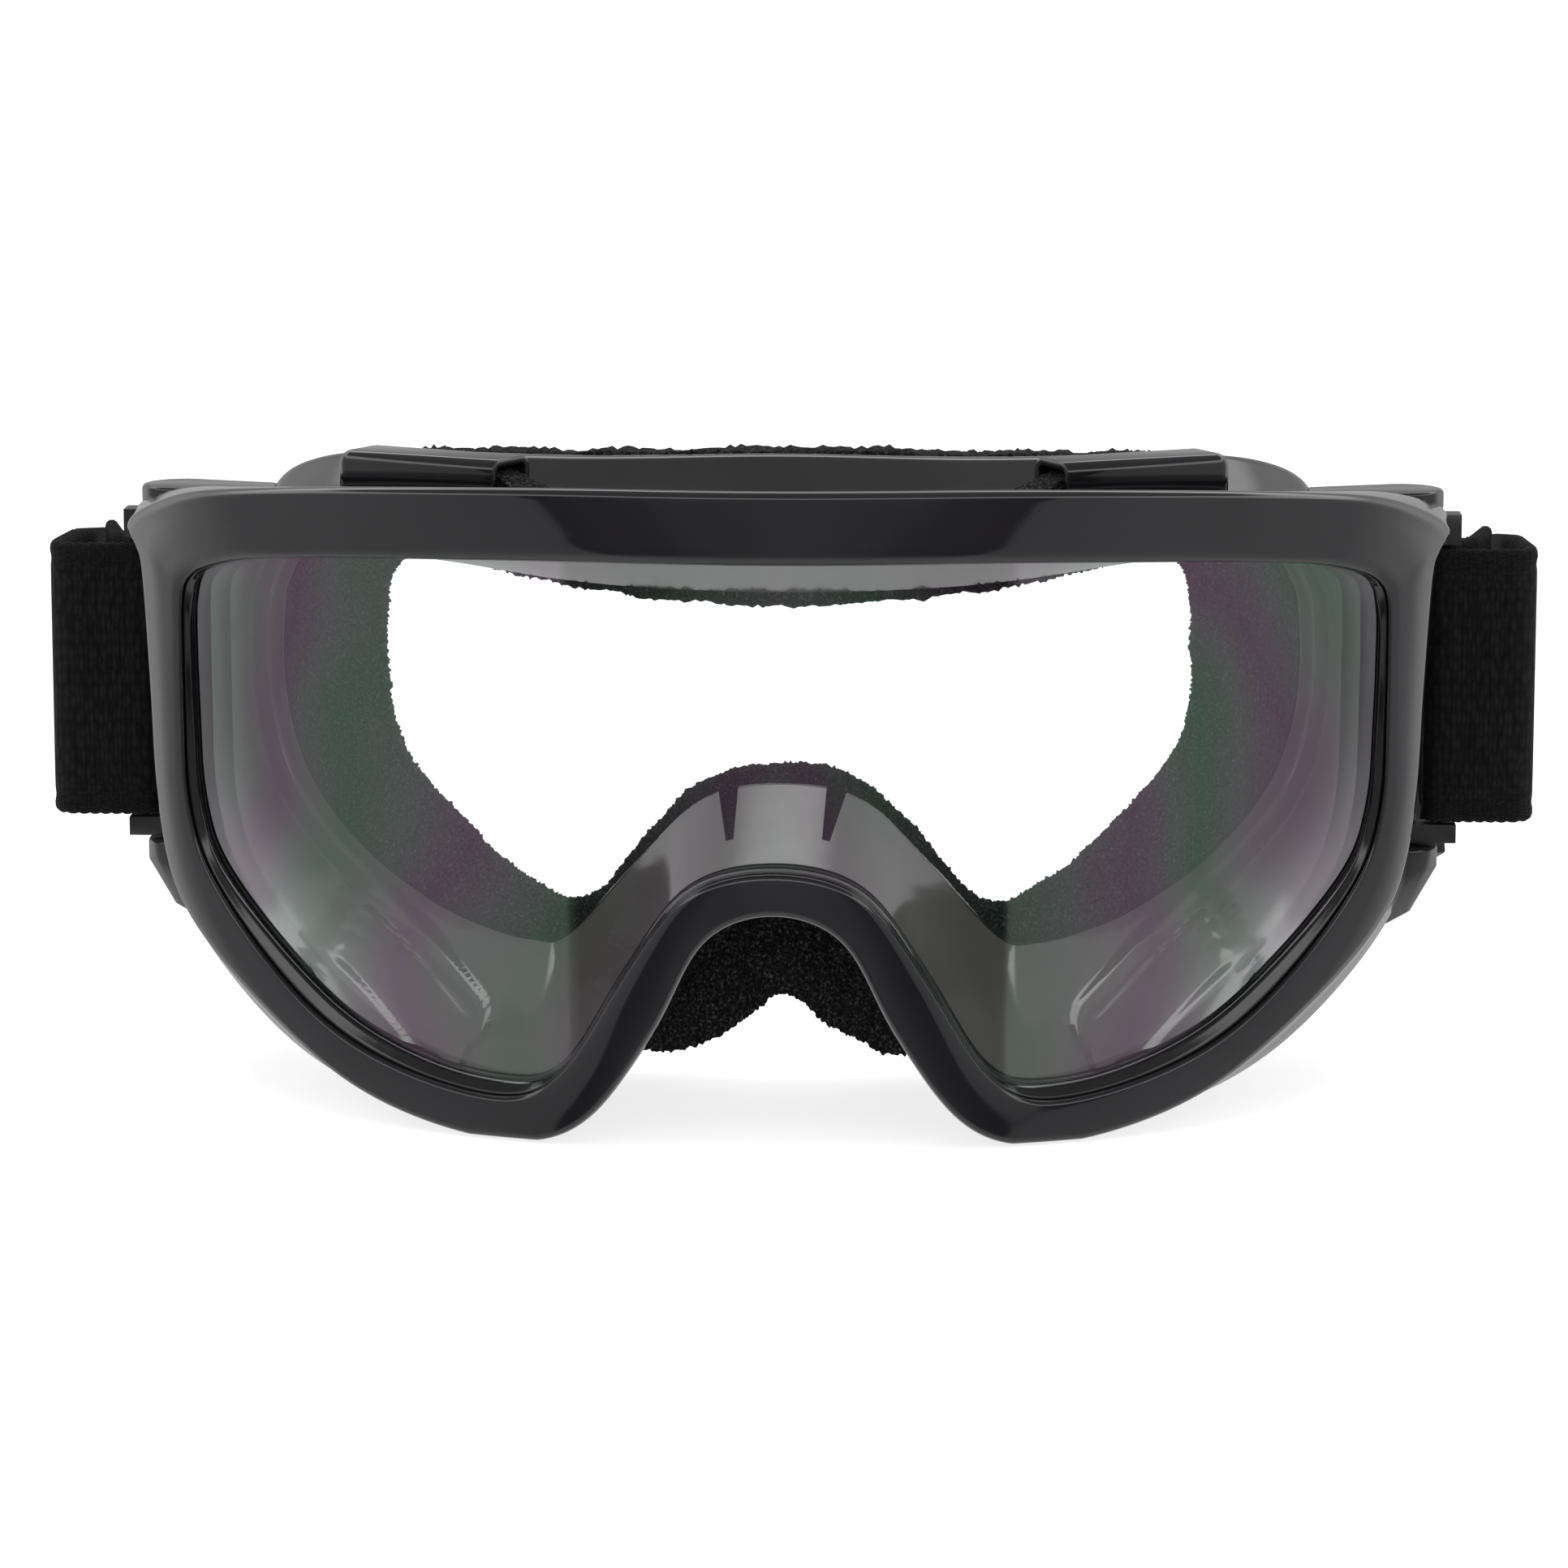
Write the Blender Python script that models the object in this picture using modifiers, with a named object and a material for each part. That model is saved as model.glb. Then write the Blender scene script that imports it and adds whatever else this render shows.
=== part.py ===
"""Ski goggles: a clear cylindrical lens clamped between a front bezel and a soft translucent frame,
with foam on the face side, four filtered vents, and a webbing strap in two halves on swinging clips.

Lengths are in millimetres and are turned to metres when a mesh is made.
X is to the right, +Z is up and +Y goes from the lens towards the face.
"""

import math

import bmesh
import bpy
from mathutils import Matrix, Vector

MM = 0.001
GAP = 0.3                     # clearance between touching pieces

# Driving dimensions
LENS_RADIUS = 109.0           # plan radius of the bezel's front surface
LENS_THICKNESS = 2.0
FACE_RADIUS = 92.0            # plan radius of the face flange
FACE_DEPTH = 37.0             # bezel front to face flange, at the middle
SIDE_DEPTH_GROWTH = 0.36      # how much deeper a layer gets at the side, where the wrap is steep
SIDE_REACH = 88.0             # half width at which that growth is reached
BEZEL_DEPTH = 11.0
LIP_DEPTH = 3.4               # bezel front to the back of the lip that holds the lens
WALL = 2.2                    # frame wall
HOOD_WALL = 1.1
FLANGE_THICKNESS = 2.4
FOAM_THICKNESS = 10.0
GLUE_LINE = 0.7               # between flange and foam, along Y
STRAP_WIDTH = 38.0
STRAP_THICKNESS = 1.8
STRAP_CENTRE_Z = 51.2
PIVOT_X = 84.2                # strap clip's vertical pin
PIVOT_Y = 67.2
PIN_RADIUS = 1.1
BARREL_RADIUS = 2.6
STATION_SAMPLES = 3           # outline samples between two stations

# Outlines in the front view, right half, from the top middle round to the middle of the nose arch.
# Every outline has the same nineteen stations, so that a loft runs from station to station.
BEZEL_OUTER = [
    (0, 85.8), (30, 85.6), (55, 84.3), (72, 82.4), (80.5, 80.6), (87, 77.4), (89.3, 74.9), (88.2, 73),
    (87.1, 69.5), (86, 54), (84.9, 37.5), (80.8, 24.2), (66.8, 11.4), (53, 3.2), (36, -0.4), (24.8, 2.6),
    (15.6, 15), (9, 27.2), (0, 30.8)]
BEZEL_BACK = [
    (0, 84.7), (30, 84.5), (55, 83.4), (72.5, 81.7), (81.2, 80.1), (88, 77.3), (90.2, 74.9), (89.2, 72.9),
    (88, 69.5), (86.8, 54), (85.6, 38), (83.6, 23), (69.8, 8.6), (54.6, 1.4), (36, -0.5), (24.2, 2.2),
    (15, 14.6), (8.4, 27.4), (0, 31.2)]
OPENING = [
    (0, 76), (30, 75.9), (54, 74.8), (66, 73.6), (72, 72.6), (76.6, 70.7), (78.3, 68.6), (79, 66),
    (79.3, 62), (79, 50), (78.2, 38.6), (74.4, 29.4), (60.8, 16.2), (49.5, 10), (37, 7.2), (28, 9.2),
    (20, 22), (11.5, 33.6), (0, 36.7)]
SHOULDER = [
    (0, 84.1), (30, 83.9), (55, 82.75), (71, 80.7), (78, 78.55), (82.5, 75.6), (83.8, 73.2), (84, 71.5),
    (83.8, 69), (82.8, 54), (82.5, 39), (82.6, 23.6), (69.2, 9.2), (54.2, 2), (36, -0.4), (24.6, 2.8),
    (15.6, 15.4), (8.7, 28.3), (0, 31.9)]
NECK = [
    (0, 80.8), (28, 80.8), (52, 79.8), (63, 78), (69, 76), (73.5, 73.4), (75.5, 71.4), (77, 69),
    (78, 66), (78.6, 53), (78, 40), (72.6, 29), (58.5, 19.4), (47.6, 13), (36.6, 9.2), (28, 10.8),
    (19, 20), (10.6, 31.8), (0, 35.6)]
FLANGE_OUTER = [
    (0, 86.5), (26, 85.7), (48, 85.1), (58.5, 84), (65, 82.4), (69.6, 80), (72.2, 76.8), (74, 72.5),
    (75.2, 67), (76, 54), (74, 38), (68.6, 24), (58.6, 10), (47.4, 2.4), (36, -0.4), (27.4, 3),
    (19.2, 17), (10.6, 33.4), (0, 38.2)]
FLANGE_INNER = [
    (0, 68), (25, 68.6), (44, 70.4), (54, 71.8), (60, 72), (64, 71), (66.8, 69), (68.6, 66),
    (69.8, 62), (70, 50), (66.4, 38.5), (57.6, 29.2), (47.2, 23.2), (40, 20.8), (34, 19.8), (29, 20.8),
    (19.4, 31.6), (10.6, 40.2), (0, 42.4)]
FOAM_OUTER = [
    (0, 86), (26, 85), (48, 84.2), (57.5, 83), (63.5, 81.4), (68, 79), (71, 76), (73, 72),
    (74.2, 67), (75, 54), (73, 38), (67.6, 24), (57.6, 10.4), (46.4, 3.8), (34, 2.6), (22, 4.6),
    (14, 4.7), (6.5, 8.4), (0, 12.8)]
FOAM_INNER = [
    (0, 65.8), (24, 67), (39, 69.3), (45, 70.3), (49.5, 70.6), (52.8, 69.4), (54.6, 66.8), (55.2, 63.2),
    (55.4, 58.4), (55, 50), (52.6, 42.4), (46.4, 35.4), (39.4, 29.2), (34, 26), (29.5, 24), (25, 25.6),
    (17.4, 35), (10, 41.6), (0, 43.8)]

# Strap clip, its lugs on the frame, and its pin
CLIP_LOW, CLIP_HIGH = 29.0, 75.0
LUG_THICKNESS = 3.0
LUG_RADIUS = 5.6
LUG_ROOT_X = 71.0
LUG_LEAN = 3.8                # how far forward the root is, to stay clear of the foam
GUSSET_DROP = 13.0
BOSS_DROP = 9.0               # the tapered boss under the lower ear
BOSS_RADIUS = 2.6
CLIP_BAR_X = 90.6             # the round bar that the strap is folded round
CLIP_BAR_RADIUS = 1.2
ARM_HALF_DEPTH = 2.2
STRAP_FOLD_X = 99.6           # where the strap turns back from the front

# Plan route of the right strap half after it leaves the clip: (x, y, height of its middle)
STRAP_ROUTE = [
    (102.1, 69, 51.2), (101.4, 80, 51.0), (99.6, 94, 49.3), (97.2, 108, 45.6), (94.7, 121, 41.6)]
STRAP_END = (86.0, 174)       # plan place of the loop round the buckle's bar
STRAP_END_Z = {-1: 27.8, 1: 23.7}   # each half droops until its buckle stands on the floor
LAYER_STEP = STRAP_THICKNESS + GAP
TAIL_AT = 8.0                 # where the webbing's doubled tail ends, along the straight stretch
SLIDER_AT = 24.0              # where the slider rests, along the straight stretch
SLIDER_HALF = (8.0, STRAP_WIDTH / 2 + 3.0)
SLIDER_WALL = 1.4
SLIDER_WINDOW_AT, SLIDER_WINDOW_HALF = 3.4, 1.9
BUCKLE_HALF_HEIGHT = 22.0
BUCKLE_BAR_THICKNESS = 2.2
BUCKLE_HALF_DEPTH = 3.6
PRONG_AT, PRONG_HALF_DEPTH = 12.5, 1.6

# Vent hoods: half length, half width and height, and how far the filter runs on past the open end
VENT_HALF = {"top": (12.5, 4.6, 6.2), "bottom": (11.0, 4.6, 4.2)}
VENT_APRON = {"top": 6.0, "bottom": 0.0}
FILTER_CLEARANCE = 0.4
FILTER_TOE = 1.4              # how thick the filter is at the end of its slope

MATERIALS = {
    "gunmetal_plastic": ((0.045, 0.043, 0.047), 0.14, 0.25),
    "smoke_tpu": ((0.05, 0.046, 0.046), 0.2, 0.0),
    "clear_lens": ((0.75, 0.78, 0.8), 0.03, 0.0),
    "black_rubber": ((0.012, 0.012, 0.013), 0.6, 0.0),
    "black_foam": ((0.018, 0.018, 0.018), 0.95, 0.0),
    "black_plastic": ((0.012, 0.012, 0.012), 0.35, 0.0),
    "black_webbing": ((0.01, 0.01, 0.01), 0.9, 0.0),
    "steel": ((0.6, 0.6, 0.62), 0.25, 1.0),
}


# ---------------------------------------------------------------- scene and materials

def clear_scene():
    for obj in list(bpy.data.objects):
        bpy.data.objects.remove(obj)


def new_collection(name):
    collection = bpy.data.collections.new(name)
    bpy.context.scene.collection.children.link(collection)
    return collection


def material(name):
    """The named Principled material, made once."""
    if name in bpy.data.materials:
        return bpy.data.materials[name]
    colour, roughness, metallic = MATERIALS[name]
    made = bpy.data.materials.new(name)
    made.use_nodes = True
    shader = made.node_tree.nodes["Principled BSDF"]
    shader.inputs["Base Color"].default_value = (*colour, 1)
    shader.inputs["Roughness"].default_value = roughness
    shader.inputs["Metallic"].default_value = metallic
    return made


def object_from(name, bm, finish=None, collection=None):
    """An object from a bmesh in millimetres, which is freed."""
    bmesh.ops.transform(bm, matrix=Matrix.Scale(MM, 4), verts=bm.verts)
    mesh = bpy.data.meshes.new(name)
    bm.to_mesh(mesh)
    bm.free()
    obj = bpy.data.objects.new(name, mesh)
    (collection or parts).objects.link(obj)
    if finish:
        mesh.materials.append(material(finish))
        mesh.shade_smooth()
        mesh.set_sharp_from_angle(angle=math.radians(35))
    return obj


def cutter_from(name, bm):
    obj = object_from(name, bm, collection=cutters)
    obj.hide_render = True
    obj.display_type = "WIRE"
    return obj


def boolean(obj, other, operation):
    step = obj.modifiers.new(operation.title(), "BOOLEAN")
    step.object = other
    step.operation = operation


# ---------------------------------------------------------------- outlines and layers

def smooth_closed(points, samples):
    """A closed Catmull-Rom curve through the points."""
    count = len(points)
    curve = []
    for i in range(count):
        a, b, c, d = (Vector(points[(i + k) % count]) for k in (-1, 0, 1, 2))
        for s in range(samples):
            t = s / samples
            curve.append(0.5 * (2 * b + (c - a) * t + (2 * a - 5 * b + 4 * c - d) * t * t
                                + (3 * b - a - 3 * c + d) * t ** 3))
    return curve


def outline(stations):
    """The whole closed outline of a half given from the top middle to the nose arch, flat at the floor."""
    left = [(-x, z) for x, z in stations[-2:0:-1]]
    points = smooth_closed(list(stations) + left, STATION_SAMPLES)
    return [Vector((p.x, max(p.y, 0.0))) for p in points]


def between(first, second, share):
    return [a.lerp(b, share) for a, b in zip(first, second)]


def inset(loop, distance):
    """The loop moved inwards, square to itself."""
    moved = []
    for i, point in enumerate(loop):
        along = (loop[(i + 1) % len(loop)] - loop[i - 1]).normalized()
        moved.append(point + Vector((-along.y, along.x)) * -distance)
    return moved


def front_y(x):
    return LENS_RADIUS - math.sqrt(LENS_RADIUS ** 2 - x * x)


def layer_y(x, depth):
    """Depth behind the bezel's front surface, which grows towards the sides."""
    return front_y(x) + depth * (1 + SIDE_DEPTH_GROWTH * (x / SIDE_REACH) ** 2)


def face_y(x):
    return FACE_DEPTH + FACE_RADIUS - math.sqrt(FACE_RADIUS ** 2 - x * x)


def at_layer(loop, depth):
    return [Vector((p.x, layer_y(p.x, depth), p.y)) for p in loop]


def at_face(loop, depth):
    return [Vector((p.x, face_y(p.x) + depth, p.y)) for p in loop]


def at_waist(loop, share):
    """Part of the way from the back of the bezel to the front of the face flange."""
    placed = []
    for p in loop:
        start = layer_y(p.x, BEZEL_DEPTH + GAP)
        end = face_y(p.x) - FLANGE_THICKNESS
        placed.append(Vector((p.x, start + (end - start) * share, p.y)))
    return placed


def lofted(loops):
    """A closed ring-shaped body: each loop is joined to the next, and the last to the first."""
    bm = bmesh.new()
    rows = [[bm.verts.new(p) for p in loop] for loop in loops]
    count = len(loops[0])
    for row, following in zip(rows, rows[1:] + rows[:1]):
        for i in range(count):
            k = (i + 1) % count
            bm.faces.new((row[i], row[k], following[k], following[i]))
    bmesh.ops.recalc_face_normals(bm, faces=bm.faces)
    return bm


def prism(loop, y_low, y_high):
    """A front-view loop drawn out along Y."""
    bm = bmesh.new()
    face = bm.faces.new([bm.verts.new((p.x, y_low, p.y)) for p in loop])
    drawn = bmesh.ops.extrude_face_region(bm, geom=[face])
    top = [v for v in drawn["geom"] if isinstance(v, bmesh.types.BMVert)]
    bmesh.ops.translate(bm, verts=top, vec=(0, y_high - y_low, 0))
    bmesh.ops.recalc_face_normals(bm, faces=bm.faces)
    return bm


def box(low, high):
    bm = bmesh.new()
    middle = [(a + b) / 2 for a, b in zip(low, high)]
    size = [b - a for a, b in zip(low, high)]
    bmesh.ops.create_cube(bm, size=1, matrix=Matrix.Translation(middle) @ Matrix.Diagonal((*size, 1)))
    return bm


def post(x, y, z_low, z_high, radius, segments=20, foot=None):
    """An upright cylinder, or a cone when its foot has another radius."""
    bm = bmesh.new()
    bmesh.ops.create_cone(
        bm, cap_ends=True, segments=segments, radius1=foot or radius, radius2=radius, depth=z_high - z_low,
        matrix=Matrix.Translation((x, y, (z_low + z_high) / 2)))
    return bm


# ---------------------------------------------------------------- front: bezel, lens, gasket

def front_bezel():
    outer, back, opening = outline(BEZEL_OUTER), outline(BEZEL_BACK), outline(OPENING)
    section = [(0, 1.5), (0.04, 0.6), (0.12, 0.2), (0.4, 0), (0.8, 0.3), (0.95, 0.8), (1, 1.6),
               (1, LIP_DEPTH), (0.3, LIP_DEPTH), (0.26, BEZEL_DEPTH)]
    loops = [at_layer(back, BEZEL_DEPTH), at_layer(between(outer, back, 0.4), 6)]
    loops += [at_layer(between(outer, opening, share), depth) for share, depth in section]
    return object_from("front_bezel", lofted(loops), "gunmetal_plastic")


def lens():
    """A curved plate cut to the outline that the bezel's lip covers."""
    depth = LIP_DEPTH + GAP
    half_width, strips = 86, 40
    bm = bmesh.new()
    rails = []
    for z in (-5, 95):
        rail = []
        for i in range(strips + 1):
            x = -half_width + 2 * half_width * i / strips
            rail.append(bm.verts.new((x, layer_y(x, depth), z)))
        rails.append(rail)
    for i in range(strips):
        bm.faces.new((rails[0][i], rails[0][i + 1], rails[1][i + 1], rails[1][i]))
    drawn = bmesh.ops.extrude_face_region(bm, geom=list(bm.faces))
    for v in drawn["geom"]:
        if isinstance(v, bmesh.types.BMVert):
            v.co.y = layer_y(v.co.x, depth + LENS_THICKNESS)
    bmesh.ops.recalc_face_normals(bm, faces=bm.faces)
    plate = object_from("lens", bm, "clear_lens")
    edge = between(outline(BEZEL_OUTER), outline(OPENING), 0.52)
    boolean(plate, cutter_from("lens_outline", prism(edge, -20, 90)), "INTERSECT")
    return plate


def lens_gasket():
    outer, opening = outline(BEZEL_OUTER), outline(OPENING)
    near = LIP_DEPTH + LENS_THICKNESS + 2 * GAP
    far = near + 1.2
    corners = [(0.45, near), (1.05, near), (1.05, far), (0.45, far)]
    loops = [at_layer(between(outer, opening, share), depth) for share, depth in corners]
    return object_from("lens_gasket", lofted(loops), "black_rubber")


# ---------------------------------------------------------------- frame body and foam

def frame_body():
    outer, opening, neck = outline(BEZEL_OUTER), outline(OPENING), outline(NECK)
    flange_outer, flange_inner = outline(FLANGE_OUTER), outline(FLANGE_INNER)
    front = LIP_DEPTH + LENS_THICKNESS + 3 * GAP + 1.2
    plug = between(outer, opening, 0.36)
    mouth = between(outer, opening, 1.06)
    corner = between(flange_outer, flange_inner, 0.22)
    loops = [
        at_layer(plug, front),
        at_layer(plug, BEZEL_DEPTH + GAP),
        at_waist(outline(SHOULDER), 0),
        at_waist(outline(SHOULDER), 0.08),
        at_waist(neck, 0.3),
        at_waist(neck, 0.62),
        at_face(flange_outer, -FLANGE_THICKNESS),
        at_face(flange_outer, 0),
        at_face(between(flange_outer, flange_inner, 0.5), 0),
        at_face(flange_inner, 0),
        at_face(flange_inner, -FLANGE_THICKNESS),
        at_face(corner, -FLANGE_THICKNESS - 1),
        at_waist(inset(neck, WALL), 0.62),
        at_waist(inset(neck, WALL), 0.3),
        at_layer(mouth, front),
    ]
    body = object_from("frame_body", lofted(loops), "smoke_tpu")
    for side in (-1, 1):
        for level in ("top", "bottom"):
            join_lug(body, side, level)
            seat_vent(body, side, level)
        boolean(body, nose_slot_cutter(side), "DIFFERENCE")
    return body


def join_lug(body, side, level):
    """An ear on the frame's side, with a hole for the clip's pin. The lower ear stands on a gusset
    and a tapered boss."""
    low = CLIP_HIGH + GAP if level == "top" else CLIP_LOW - GAP - LUG_THICKNESS
    high = low + LUG_THICKNESS
    name = f"{level}_lug_{'left' if side < 0 else 'right'}"
    reach = LUG_RADIUS - 0.4
    root, tip = (side * LUG_ROOT_X, PIVOT_Y - reach, low), (side * PIVOT_X, PIVOT_Y + reach, high)
    arm = box(*sorted_corners(root, tip))
    for v in arm.verts:
        if abs(v.co.x) < (LUG_ROOT_X + PIVOT_X) / 2:
            v.co.y -= LUG_LEAN
            if level == "bottom" and v.co.z < (low + high) / 2:
                v.co.z -= GUSSET_DROP
    eye = post(side * PIVOT_X, PIVOT_Y, low - 0.05, high + 0.05, LUG_RADIUS)
    boolean(body, cutter_from(name + "_arm", arm), "UNION")
    boolean(body, cutter_from(name + "_eye", eye), "UNION")
    if level == "bottom":
        boss = post(side * PIVOT_X, PIVOT_Y, low - BOSS_DROP, low + 1, LUG_RADIUS - 0.1, foot=BOSS_RADIUS)
        boolean(body, cutter_from(name + "_boss", boss), "UNION")
    hole = post(side * PIVOT_X, PIVOT_Y, low - 0.2, high + 2, PIN_RADIUS + GAP / 2, 12)
    boolean(body, cutter_from(name + "_hole", hole), "DIFFERENCE")


def sorted_corners(a, b):
    return [min(p) for p in zip(a, b)], [max(p) for p in zip(a, b)]


def vent_matrix(side, level):
    """A vent's own frame: its length along X, out of the frame's wall along Z, origin on its seat."""
    if level == "top":
        return Matrix.Translation((side * 46.5, 34.4, 80.5)) @ Matrix.Rotation(math.radians(side * 28), 4, "Z")
    out = Matrix.Translation((side * 50.9, 38.2, 13.9)) @ Matrix.Rotation(math.radians(side * 31), 4, "Z")
    return out @ Matrix.Rotation(math.radians(180 - side * 30.4), 4, "Y")


def vent_box(side, level, low, high):
    """A box in the vent's frame, whose X runs from the closed end to the open end."""
    flip = -side if level == "top" else side
    corners = sorted_corners((low[0] * flip, low[1], low[2]), (high[0] * flip, high[1], high[2]))
    return put(box(*corners), vent_matrix(side, level))


def seat_vent(body, side, level):
    """A flat seat on the frame's wall with the air slot through it."""
    long, wide, tall = VENT_HALF[level]
    name = f"{level}_vent_{'left' if side < 0 else 'right'}"
    end = long + VENT_APRON[level]
    pad = vent_box(side, level, (-long - 1, -wide - 1, -3.2), (end + 1, wide + 1, 0.4))
    room = vent_box(side, level, (-long - 1.7, -wide - 1.7, 0), (end + 1.7, wide + 1.7, tall + 4.3))
    slot = vent_box(side, level, (-long + 3.2, -wide + 2.2, -7), (end - 2.5, wide - 2.2, 3))
    boolean(body, cutter_from(name + "_pad", pad), "UNION")
    boolean(body, cutter_from(name + "_room", room), "DIFFERENCE")
    boolean(body, cutter_from(name + "_slot", slot), "DIFFERENCE")


def nose_slot_cutter(side):
    """A slot in the nose saddle that widens towards the face and is open there."""
    narrow, wide = 0.5, 1.9
    plan = [(6.3 - narrow, 17), (6.3 + narrow, 17), (7.9 + wide, 48), (7.9 - wide, 48)]
    bm = bmesh.new()
    face = bm.faces.new([bm.verts.new((side * x, y, 22)) for x, y in plan])
    drawn = bmesh.ops.extrude_face_region(bm, geom=[face])
    top = [v for v in drawn["geom"] if isinstance(v, bmesh.types.BMVert)]
    bmesh.ops.translate(bm, verts=top, vec=(0, 0, 28))
    bmesh.ops.recalc_face_normals(bm, faces=bm.faces)
    return cutter_from(f"nose_slot_{'left' if side < 0 else 'right'}", bm)


def face_foam():
    outer, inner = outline(FOAM_OUTER), outline(FOAM_INNER)
    near, far = GLUE_LINE, FOAM_THICKNESS
    section = [(0, near), (0, far - 3.5), (0.1, far - 1), (0.3, far), (0.75, far), (0.95, far - 1.5),
               (1, far - 4), (1, near), (0.5, near)]
    loops = [at_face(between(outer, inner, share), depth) for share, depth in section]
    return object_from("face_foam", lofted(loops), "black_foam")


# ---------------------------------------------------------------- vents

def vent_hood(side, level):
    """A moulded cap over an air slot, open at one end and underneath."""
    long, wide, tall = VENT_HALF[level]
    towards_open = Vector((-side if level == "top" else side, 0, 0))
    bm = box((-long, -wide, GAP), (long, wide, tall))
    gone = [f for f in bm.faces if f.normal.z < -0.9 or f.normal.dot(towards_open) > 0.9]
    bmesh.ops.delete(bm, geom=gone, context="FACES")
    rounded = [e for e in bm.edges if len(e.link_faces) == 2]
    bmesh.ops.bevel(bm, geom=rounded, offset=1.8, segments=3, profile=0.5, affect="EDGES", material=-1)
    put(bm, vent_matrix(side, level))
    hood = object_from(f"{level}_vent_hood_{'left' if side < 0 else 'right'}", bm, "gunmetal_plastic")
    shell = hood.modifiers.new("Solidify", "SOLIDIFY")
    shell.thickness = HOOD_WALL * MM
    shell.offset = -1
    return hood


def vent_filter(side, level):
    """A block of foam over the air slot, which slopes down where it runs on past the hood."""
    long, wide, tall = VENT_HALF[level]
    inset_by = HOOD_WALL + FILTER_CLEARANCE
    top = tall - inset_by
    apron = VENT_APRON[level]
    bm = bmesh.new()
    side_view = [(-long + inset_by, GAP), (-long + inset_by, top), (long - 2, top)]
    side_view += [(long + apron, FILTER_TOE), (long + apron, GAP)] if apron else [(long - 2, GAP)]
    towards_open = -side if level == "top" else side
    face = bm.faces.new([bm.verts.new((x * towards_open, -wide + inset_by, z)) for x, z in side_view])
    drawn = bmesh.ops.extrude_face_region(bm, geom=[face])
    far = [v for v in drawn["geom"] if isinstance(v, bmesh.types.BMVert)]
    bmesh.ops.translate(bm, verts=far, vec=(0, 2 * (wide - inset_by), 0))
    bmesh.ops.recalc_face_normals(bm, faces=bm.faces)
    put(bm, vent_matrix(side, level))
    return object_from(f"{level}_vent_filter_{'left' if side < 0 else 'right'}", bm, "black_foam")


# ---------------------------------------------------------------- strap clips

def strap_clip(side):
    """A barrel on the pin, a round bar for the strap, and an arm above and below that joins them."""
    name = "left" if side < 0 else "right"
    x = side * PIVOT_X
    clip = object_from(f"strap_clip_{name}", post(x, PIVOT_Y, CLIP_LOW, CLIP_HIGH, BARREL_RADIUS),
                       "black_plastic")
    bar = post(side * CLIP_BAR_X, PIVOT_Y, CLIP_LOW + 1, CLIP_HIGH - 1, CLIP_BAR_RADIUS, 16)
    boolean(clip, cutter_from(f"clip_bar_{name}", bar), "UNION")
    half_slot = STRAP_WIDTH / 2 + 0.5
    arms = {
        "low": (CLIP_LOW + 0.1, STRAP_CENTRE_Z - half_slot),
        "high": (STRAP_CENTRE_Z + half_slot, CLIP_HIGH - 0.1)}
    for level, (low, high) in arms.items():
        tip = side * (CLIP_BAR_X + CLIP_BAR_RADIUS + 0.4)
        arm = box(*sorted_corners((x, PIVOT_Y - ARM_HALF_DEPTH, low), (tip, PIVOT_Y + ARM_HALF_DEPTH, high)))
        boolean(clip, cutter_from(f"clip_arm_{level}_{name}", arm), "UNION")
    hole = post(x, PIVOT_Y, CLIP_LOW - 2, CLIP_HIGH + 2, PIN_RADIUS + GAP / 2, 12)
    boolean(clip, cutter_from(f"clip_hole_{name}", hole), "DIFFERENCE")
    return clip


def clip_pin(side):
    low, high = CLIP_LOW - GAP - LUG_THICKNESS, CLIP_HIGH + GAP + LUG_THICKNESS
    pin = post(side * PIVOT_X, PIVOT_Y, low + 0.2, high - 0.2, PIN_RADIUS, 12)
    return object_from(f"clip_pin_{'left' if side < 0 else 'right'}", pin, "steel")


# ---------------------------------------------------------------- strap, slider and buckle

def strap_frame(side, distance):
    """A frame on the strap's straight stretch: X along it, Y out of its inner face, Z up its width."""
    start = Vector((side * STRAP_ROUTE[-1][0], *STRAP_ROUTE[-1][1:]))
    end = Vector((side * STRAP_END[0], STRAP_END[1], STRAP_END_Z[side]))
    along = (end - start).normalized()
    inward = Vector((0, 0, side)).cross(along).normalized()
    up = along.cross(inward).normalized() * side
    place = start + along * distance
    return Matrix((
        (along.x, inward.x, up.x, place.x),
        (along.y, inward.y, up.y, place.y),
        (along.z, inward.z, up.z, place.z),
        (0, 0, 0, 1)))


def stretch_length(side):
    return (Vector((*STRAP_END, STRAP_END_Z[side])) - Vector(STRAP_ROUTE[-1])).length


def turn_round(centre, radius, first, last, step=30):
    """Points of an arc in a plane, from one angle to another in degrees."""
    angles = range(first, last + 1, step)
    return [(centre[0] + radius * math.cos(math.radians(a)), centre[1] + radius * math.sin(math.radians(a)))
            for a in angles]


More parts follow.
